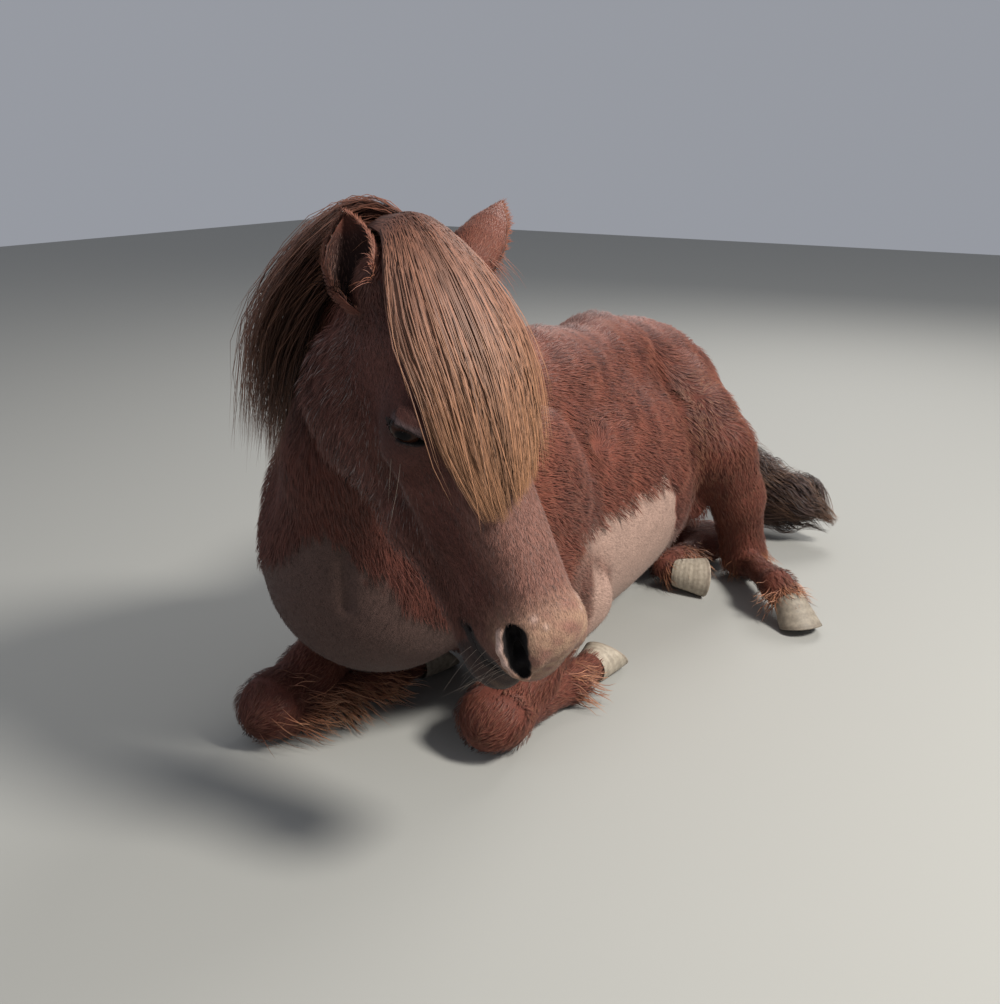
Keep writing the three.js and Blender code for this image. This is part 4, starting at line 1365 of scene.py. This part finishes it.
def make_mane():
    locks, n, k = 80, 3400, 8
    lock = RNG.integers(0, locks, n)
    where = np.sort(RNG.random(locks))[lock]
    s = np.linspace(0, 1, k)[None]
    loose = RNG.normal(0, 0.02, n)
    crest = curve_at(CREST, np.clip(where[:, None] + loose[:, None] * (1.3 - 0.7 * s) + 0 * s, 0, 1))
    end = np.clip(RNG.normal(0.84, 0.12, n) + RNG.normal(0, 0.09, locks)[lock], 0.35, 1.03)
    fall = curve_at(MANE_FALL, end[:, None] * s)
    tangent = unit(np.gradient(fall, axis=1))
    outward = unit(np.cross(np.cross(tangent, [-0.75, -0.5, 0.6]), tangent))
    depth = RNG.uniform(-0.9, 1, n)
    radius = np.interp(end[:, None] * s, [0, 0.2, 0.33, 0.66, 1], [12, 28, 33, 30, 16])
    paths = crest + fall + outward * (radius * depth[:, None])[..., None]
    curl = 9 * s ** 1.3
    phase = RNG.uniform(0, TURN, locks)[lock][:, None]
    paths[..., 0] += curl * np.sin(s * 7 + phase) + RNG.normal(0, 9, n)[:, None] * s ** 1.5
    paths[..., 1] += curl * np.cos(s * 6 + phase * 1.7) + RNG.normal(0, 11, n)[:, None] * s ** 1.5
    paths[..., 2] += RNG.normal(0, 6, n)[:, None] * s
    streak = RNG.uniform(0.6, 1.2, locks)[lock] * RNG.uniform(0.8, 1.15, n)
    # Hairs deeper in the mane are darker: painted shade
    streak = streak * (0.65 + 0.4 * np.clip(depth, 0, 1))
    colours = hair_tones(k, (tone(88, 52, 42), tone(124, 80, 62), tone(150, 104, 76)), streak, 0.6)
    return strands(paths, outward, tapering(1.0, 1.8, n, s), colours, 0.7)


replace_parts(add_coat("mane_hair", make_mane(), LONG_HAIR), "mane")


# Ruffled hair where the mane meets the forelock, behind and above the right ear
def make_ruffle():
    locks, n, k = 42, 1200, 7
    lock = RNG.integers(0, locks, n)
    where = (0.06 + RNG.random(locks) ** 1.2 * 0.42)[lock] + RNG.normal(0, 0.012, n)
    s = np.linspace(0, 1, k)[None, :, None]
    root = curve_at(CREST, np.clip(where, 0, 1)) + RNG.normal(0, 5, (n, 3)) + [-4, 0, -4]
    heading = np.array([-0.66, -0.5, 0.52]) + RNG.normal(0, 0.36, (locks, 3))
    go = unit(heading[lock] + RNG.normal(0, 0.1, (n, 3)))
    reach = (RNG.uniform(56, 104, locks)[lock] * RNG.uniform(0.6, 1.1, n))[:, None, None]
    fall = np.array([-0.35, -0.25, -0.75]) * RNG.uniform(0.5, 1.5, (n, 1))
    paths = root[:, None] + reach * (go[:, None] * s + fall[:, None] * s ** 2.2)
    phase = RNG.uniform(0, TURN, (locks, 3))[lock][:, None]
    paths = paths + 4.5 * np.sin(s * RNG.uniform(4, 8, locks)[lock][:, None, None] + phase) * s
    streak = RNG.uniform(0.7, 1.25, locks)[lock] * RNG.uniform(0.8, 1.15, n)
    colours = hair_tones(k, (tone(84, 48, 40), tone(122, 76, 58), tone(158, 108, 78)), streak, 0.6)
    outward = np.broadcast_to(unit([-0.5, -0.6, 0.6]), paths.shape)
    return strands(paths, outward, tapering(0.9, 1.5, n, s[..., 0]), colours, 0.7)


add_coat("crown_ruffle", make_ruffle(), LONG_HAIR)

# Middle of the tail from its root on, with its radius
TAIL = [[[-62, 500, 345], 50], [[-40, 586, 268], 56], [[30, 622, 160], 66], [[122, 610, 96], 78],
        [[200, 604, 84], 70], [[246, 606, 70], 50]]


def make_tail():
    locks, n, k = 190, 3300, 9
    centre = np.array([c for c, r in TAIL], float)
    radii = np.array([r for c, r in TAIL], float)
    lock = RNG.integers(0, locks, n)
    start = (RNG.random(locks) ** 1.1 * 0.72)[lock]
    end = np.clip(start + RNG.normal(0.36, 0.06, n) + RNG.normal(0, 0.08, locks)[lock], 0.25, 1.14)
    s = np.linspace(0, 1, k)[None]
    t = start[:, None] + (end - start)[:, None] * s
    last = unit(centre[-1] - centre[-2] + [0, 0, -12])
    path = curve_at(centre, t) + np.maximum(t - 1, 0)[..., None] * 330 * last
    tangent = unit(np.gradient(path, axis=1))
    a = unit(np.cross(tangent, [0.2, 0.3, 1.0]))
    b = np.cross(a, tangent)
    angle = RNG.uniform(0, 6.283, locks)[lock] + RNG.normal(0, 0.2, n)
    out = a * np.cos(angle)[:, None, None] + b * np.sin(angle)[:, None, None]
    radius = np.interp(t * 5, np.arange(6), radii * 0.98) * (1 - 0.75 * rise(t, 0.9, 1.16))
    lay = (RNG.random(locks)[lock] ** 0.5 * 0.72 + 0.22)[:, None] * (0.35 + 0.65 * np.clip(s * 2.2, 0, 1))
    paths = path + out * (radius * lay)[..., None]
    phase = RNG.uniform(0, TURN, locks)[lock][:, None] + RNG.normal(0, 0.5, n)[:, None]
    curl = RNG.uniform(5, 15, locks)[lock][:, None] * np.clip(s * 1.6, 0, 1)
    pace = RNG.uniform(6, 12, locks)[lock][:, None]
    sway, lift = curl * np.sin(s * pace + phase), curl * np.cos(s * pace * 0.9 + phase)
    paths += sway[..., None] * a + lift[..., None] * b
    paths[..., 2] = np.maximum(paths[..., 2], 3 + 2 * RNG.random(n)[:, None])
    streak = RNG.uniform(0.6, 1.3, locks)[lock] * RNG.uniform(0.8, 1.2, n)
    colours = hair_tones(k, (tone(50, 38, 36), tone(66, 50, 46), tone(122, 92, 72)), streak, 0.7)
    return strands(paths, out, tapering(1.2, 2.0, n, s), colours, 0.8)


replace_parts(add_coat("tail_strands", make_tail(), LONG_HAIR), "tail")


# Feather, the long hair behind knees and fetlocks and at the coronets: where it grows, which way it points,
# its length, how wide the spot is, and its share of the hairs
FEATHER = [
    ([-132, -545, 40], [1, 0.35, -0.25], 46, 55, 0.9),
    ([-110, -470, 34], [0.9, -0.2, -0.35], 55, 50, 1.0),
    ([-92, -400, 30], [0.8, 0.3, -0.3], 40, 40, 0.6),
    ([146, -250, 30], [0.6, 0.6, -0.5], 38, 34, 0.7),
    ([100, 300, 40], [0.9, -0.6, -0.5], 44, 40, 0.8),
    ([86, 244, 34], [0.75, -0.5, -0.4], 40, 32, 0.8),
    ([312, 208, 46], [-0.2, -0.6, -0.7], 32, 30, 0.5),
    ([196, 345, 44], [0.2, 0.3, -0.9], 40, 36, 0.5),
    ([324, 204, 52], [0.7, -0.4, -0.5], 30, 26, 0.7),
]


def make_feather():
    n, k = 2500, 6
    centres, headings, sizes, spreads, chance = (np.array(column, float) for column in zip(*FEATHER))
    pick = RNG.choice(len(FEATHER), n, p=chance / chance.sum())
    heading, size = unit(headings)[pick], sizes[pick]
    aside = unit(RNG.normal(0, 1, (n, 3))) * (spreads[pick] * RNG.random(n) ** 0.5)[:, None]
    start = centres[pick] + aside * [0.8, 0.8, 0.5]
    # the roots are drawn onto the skin
    for _ in range(6):
        f = LEG_FIELD(start) + LEG_COAT
        g = np.stack([LEG_FIELD(start + e) + LEG_COAT - f for e in np.eye(3)], 1)
        start = start - f[:, None] * unit(g) * 0.9
    normal = unit(g)
    keep = (start[:, 2] > 8) & (normal[:, 2] > -0.6)
    start, normal, heading, size = start[keep], normal[keep], heading[keep], size[keep]
    n = len(start)
    s = np.linspace(0, 1, k)[None, :, None]
    reach = (size * RNG.uniform(0.5, 1.15, n))[:, None, None]
    go = unit(heading + RNG.normal(0, 0.28, (n, 3)))[:, None]
    paths = start[:, None] + reach * (0.35 * normal[:, None] * s * (1 - 0.4 * s) + go * s)
    phase = np.floor(start[:, 0] / 14) * 2.1 + np.floor(start[:, 1] / 14) * 1.3
    paths[..., 2] += 3.5 * np.sin(s[..., 0] * 5 + phase[:, None]) * s[..., 0]
    paths[..., 0] += 3.5 * np.cos(s[..., 0] * 6 + phase[:, None]) * s[..., 0]
    paths[..., 2] = np.maximum(paths[..., 2], 2.5 + RNG.random(n)[:, None] * 4)
    palette = (tone(108, 66, 50), tone(156, 102, 74), tone(196, 150, 116))
    colours = hair_tones(k, palette, RNG.uniform(0.7, 1.25, n), 0.55)
    widths = tapering(0.9, 1.5, n, s[..., 0], 1.1, 2)
    return strands(paths, np.broadcast_to(normal[:, None], paths.shape), widths, colours, 0.6)


add_coat("feather", make_feather(), LONG_HAIR)


# Whiskers and lashes
def hairs(roots, directions, lengths, thickness, colour, k=9):
    """Single stiff hairs that sag a little."""
    s = np.linspace(0, 1, k)[None, :, None]
    lengths = np.array(lengths)[:, None, None]
    bend = RNG.normal(0, 0.10, (len(roots), 1, 3)) * s ** 2
    paths = roots[:, None] + lengths * (unit(directions)[:, None] * s + 0.25 * s ** 2 * DOWN + bend)
    widths = thickness * np.clip(1 - 0.85 * s[..., 0], 0.1, 1) * np.ones((len(roots), 1))
    colours = np.broadcast_to(colour, paths.shape)
    outward = np.broadcast_to(unit(directions + [0.3, -0.8, 0.3])[:, None], paths.shape)
    return strands(paths, outward, widths, colours, 0.5)


def on_skin(h_points):
    """Puts points near the head onto the skin, along the field's slope."""
    p = to_layout(np.asarray(h_points, float))
    for _ in range(8):
        f = skin_field(p)
        g = np.stack([skin_field(p + 0.5 * e) - f for e in np.eye(3)], 1) / 0.5
        p = p - f[:, None] * g / np.maximum((g * g).sum(1, keepdims=True), 0.3)
    return p


def make_whiskers():
    """Whiskers round the lips, and two below each eye."""
    roots, ways, sizes = [], [], []
    for side in SIDES.values():
        for _ in range(15):
            x, z = RNG.uniform(385, 440), RNG.uniform(-125, -68)
            roots.append([x, side * RNG.uniform(36, 52), z])
            down, ahead = RNG.uniform(0.4, 0.9), RNG.uniform(-0.1, 0.4)
            ways.append(HEAD_Y * side * 0.9 - HEAD_Z * down + HEAD_X * ahead)
            sizes.append(RNG.uniform(28, 52))
        for x, z in ((182, -66), (190, -60)):
            roots.append([x, side * 74, z])
            ways.append(HEAD_Y * side * 0.5 - HEAD_Z * 0.1 + HEAD_X * 0.9)
            sizes.append(RNG.uniform(40, 62))
    return hairs(on_skin(roots), unit(ways), sizes, 0.42, tone(150, 134, 120))


def make_lashes():
    roots, ways, sizes = [], [], []
    for side in SIDES.values():
        centre, slit, up, gaze = eye_frame(side)
        for a in np.linspace(-0.8, 0.75, 30):
            arch = 1 - a * a
            upper, lower = 0.9 * arch + SLIT_HALF_HEIGHT * arch, 0.9 * arch - SLIT_HALF_HEIGHT * arch
            for above, lean, size in ((upper + 0.6, 0.5, 8), (lower - 0.8, -0.9, 4)):
                jitter = RNG.normal(0, 0.5, 2)
                foot = slit * (a * SLIT_HALF_LENGTH + jitter[0]) + up * (above + jitter[1] * 0.4)
                foot = foot + gaze * math.sqrt(max(LASH_RADIUS ** 2 - foot @ foot, 1))
                roots.append(centre + foot)
                ways.append((gaze + up * lean + slit * a * 0.4) @ HEAD_AXES)
                sizes.append(size * RNG.uniform(0.7, 1.2))
    return hairs(to_layout(np.array(roots)), unit(ways), sizes, 0.36, tone(24, 15, 13), 6)


add_coat("whiskers", make_whiskers(), LONG_HAIR)
add_coat("lashes", make_lashes(), LONG_HAIR)


# Eyes: a ball with a slightly proud cornea, and a pupil that is long along the slit
EYE_RINGS, EYE_SECTORS = 56, 72
IRIS_RADIUS = 12.5
PUPIL_WAY = unit([0.96, 0.28])
PUPIL_HALF_SIZES = (8.6, 5.0)


def make_eye(name, side):
    centre, slit, up, gaze = eye_frame(side)
    polar = np.linspace(0, math.pi, EYE_RINGS)[:, None]
    turn = np.linspace(0, 2 * math.pi, EYE_SECTORS, endpoint=False)[None]
    out = np.sin(polar)
    local = np.stack([out * np.cos(turn), out * np.sin(turn), np.cos(polar) + 0 * turn], -1)
    local = local.reshape(-1, 3)
    swell = 1 + 0.035 * bump((np.arccos(np.clip(local[:, 2], -1, 1)) - 0.2) / 0.6)
    x, y = local[:, 0] * EYE_RADIUS, local[:, 1] * EYE_RADIUS
    u, v = x * PUPIL_WAY[0] + y * PUPIL_WAY[1], -x * PUPIL_WAY[1] + y * PUPIL_WAY[0]
    pupil = np.sqrt((u / PUPIL_HALF_SIZES[0]) ** 2 + (v / PUPIL_HALF_SIZES[1]) ** 2)
    pupil = bump((pupil - 0.8) / 0.4)
    edge = bump((np.hypot(x, y) - IRIS_RADIUS) / 3.5)
    front = (local[:, 2] > 0)
    c = mix(tone(20, 14, 12), tone(58, 35, 26), edge * front)
    c = mix(c, tone(7, 6, 8), pupil * front)
    way = local[:, :1] * slit + local[:, 1:2] * up + local[:, 2:] * gaze
    h = centre + EYE_RADIUS * swell[:, None] * 0.995 * way
    quads = tube_quads(EYE_RINGS, EYE_SECTORS)
    piece = make_piece(name, to_layout(h), quads if side > 0 else quads[:, ::-1], EYE, c)
    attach(piece, "root")
    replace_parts(piece, name.replace("eyeball", "eye"))


for side_name, side in SIDES.items():
    make_eye(f"eyeball_{side_name}", side)

# Hooves: ringed walls of horn with a flat sole, a groove round it and a frog. For each the middle of its
# coronet, the way down through it, the way its front wall faces, the wall's slant, and how light the horn is
HOOVES = {
    "fore_left": ([152, -178, 30], [0, 1, 0.04], [0, 0, -1], 38, 0.85),
    "fore_right": ([-79, -314, 30], [0.15, 1, 0.04], [0, 0, -1], 38, 0.6),
    "hind_left": ([330, 198, 39], [0.66, -0.44, -0.75], [0.75, -0.5, 0.6], 30, 0.62),
    "hind_right": ([112, 230, 33], [1, 0.08, 0.02], [0.1, -1, 0.25], 38, 0.95),
}
HORN_PALE, HORN_DARK, SOLE = tone(186, 174, 156), tone(132, 118, 104), tone(158, 146, 130)
HOOF_LENGTH = 46.4
HOOF_POINTS = 56


def make_hoof(name, coronet, axis, dorsal, slant, lightness):
    down = unit(axis)
    front = unit(np.array(dorsal, float) - (np.array(dorsal) @ down) * down)
    side = np.cross(down, front)
    a = np.linspace(0, 2 * math.pi, HOOF_POINTS, endpoint=False)
    smooth = 0.98 + 0.12 * np.cos(a)
    heel = 0.86 + 0.24 / (1 + np.exp(-6 * np.cos(a)))
    frog = bump((np.abs(a / math.pi - 1) - 0.10) / 0.08)
    rings, tints = [], []
    wall = [(t, 1.0) for t in np.linspace(-0.12, 1, 30)]
    sole = [(1.0, k) for k in (0.97, 0.9, 0.88, 0.7, 0.5, 0.3, 0.1, 0.02)]
    for t, inwards in wall + sole:
        radius = np.interp(t, [-0.12, 0, 0.5, 1], [26, 28, 32, 37])
        angle = math.radians(slant * np.interp(t, [0, 0.5, 1], [0.1, 0.55, 1]))
        ahead = front * math.cos(angle) + down * math.sin(angle)
        ridge = 0.22 * math.sin(t * 46) + 0.12 * math.sin(t * 93) if inwards == 1 else 0
        reach = (radius - 1.0 + ridge) * inwards
        dent = (3.2 - 2.6 * frog) * (inwards < 0.89) + 1.2 * (inwards == 0.9)
        centre = np.array(coronet) + down * HOOF_LENGTH * t
        ring = centre + (reach * heel * np.cos(a))[:, None] * ahead
        ring = ring + (reach * np.sin(a) * smooth)[:, None] * side
        rings.append(ring - np.multiply.outer(dent, down))
        bands = 0.22 * (0.5 + 0.5 * math.sin(t * 23)) + 0.4 * (t > 0.92)
        c = mix(HORN_PALE, HORN_DARK, bands) if inwards == 1 else SOLE * (0.7 + 0.3 * inwards)
        tints.append(np.broadcast_to(c * lightness, (HOOF_POINTS, 3)))
    points = np.concatenate(rings)
    points[:, 2] = np.maximum(points[:, 2], HOOF_LOWEST)
    quads = tube_quads(len(rings), HOOF_POINTS)
    piece = make_piece(f"{name}_horn", points, quads, HORN, np.concatenate(tints))
    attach(piece, "root")
    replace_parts(piece, f"{name}_hoof")


for name, shape in HOOVES.items():
    make_hoof(name, *shape)

# Stage
FLOOR_SIZE = 14
bpy.ops.mesh.primitive_plane_add(size=FLOOR_SIZE, location=(0, 0, 0))
floor = bpy.context.object
floor.name = "floor"
floor.data.materials.append(Finish("floor", Roughness=0.9, Base_Color=(0.33, 0.33, 0.31, 1)).material)

world = bpy.data.worlds.new("studio")
world.use_nodes = True
sky = world.node_tree.nodes["Background"]
sky.inputs["Color"].default_value = (0.86, 0.9, 1.0, 1)
sky.inputs["Strength"].default_value = 0.36
bpy.context.scene.world = world


def area_light(name, place, target, size, power, colour):
    """A round light at place that faces target."""
    data = bpy.data.lights.new(name, "AREA")
    data.shape = "DISK"
    data.size = size
    data.energy = power
    data.color = colour
    light = bpy.data.objects.new(name, data)
    light.location = place
    way = np.array(target, float) - np.array(place, float)
    tilt = math.acos(-way[2] / np.linalg.norm(way))
    light.rotation_euler = (tilt, 0, math.atan2(way[1], way[0]) - math.pi / 2)
    bpy.context.scene.collection.objects.link(light)


area_light("key", (2.5, -0.35, 2.7), (0.05, -0.1, 0.3), 0.8, 185, (1.0, 0.96, 0.9))
area_light("fill", (-1.6, -2.6, 1.6), (0, -0.3, 0.3), 2.4, 10, (0.94, 0.95, 1.0))
area_light("back", (-0.2, 2.8, 2.4), (0, 0, 0.4), 1.6, 62, (1.0, 0.97, 0.94))

# The camera of the photo: focal length and longer side in pixels, and degrees it looks down and is turned
FOCAL_PIXELS, LONGER_SIDE, SENSOR_WIDTH = 1100, 1004, 36
LOOKS_DOWN, TURNED = 18.45, 33
camera_data = bpy.data.cameras.new("camera")
camera_data.lens = SENSOR_WIDTH * FOCAL_PIXELS / LONGER_SIDE
camera = bpy.data.objects.new("camera", camera_data)
camera.location = (0.7872, -1.5065, 0.80)
camera.rotation_euler = (math.radians(90 - LOOKS_DOWN), 0, math.radians(TURNED))
bpy.context.scene.collection.objects.link(camera)
bpy.context.scene.camera = camera
bpy.context.scene.view_settings.view_transform = "Standard"
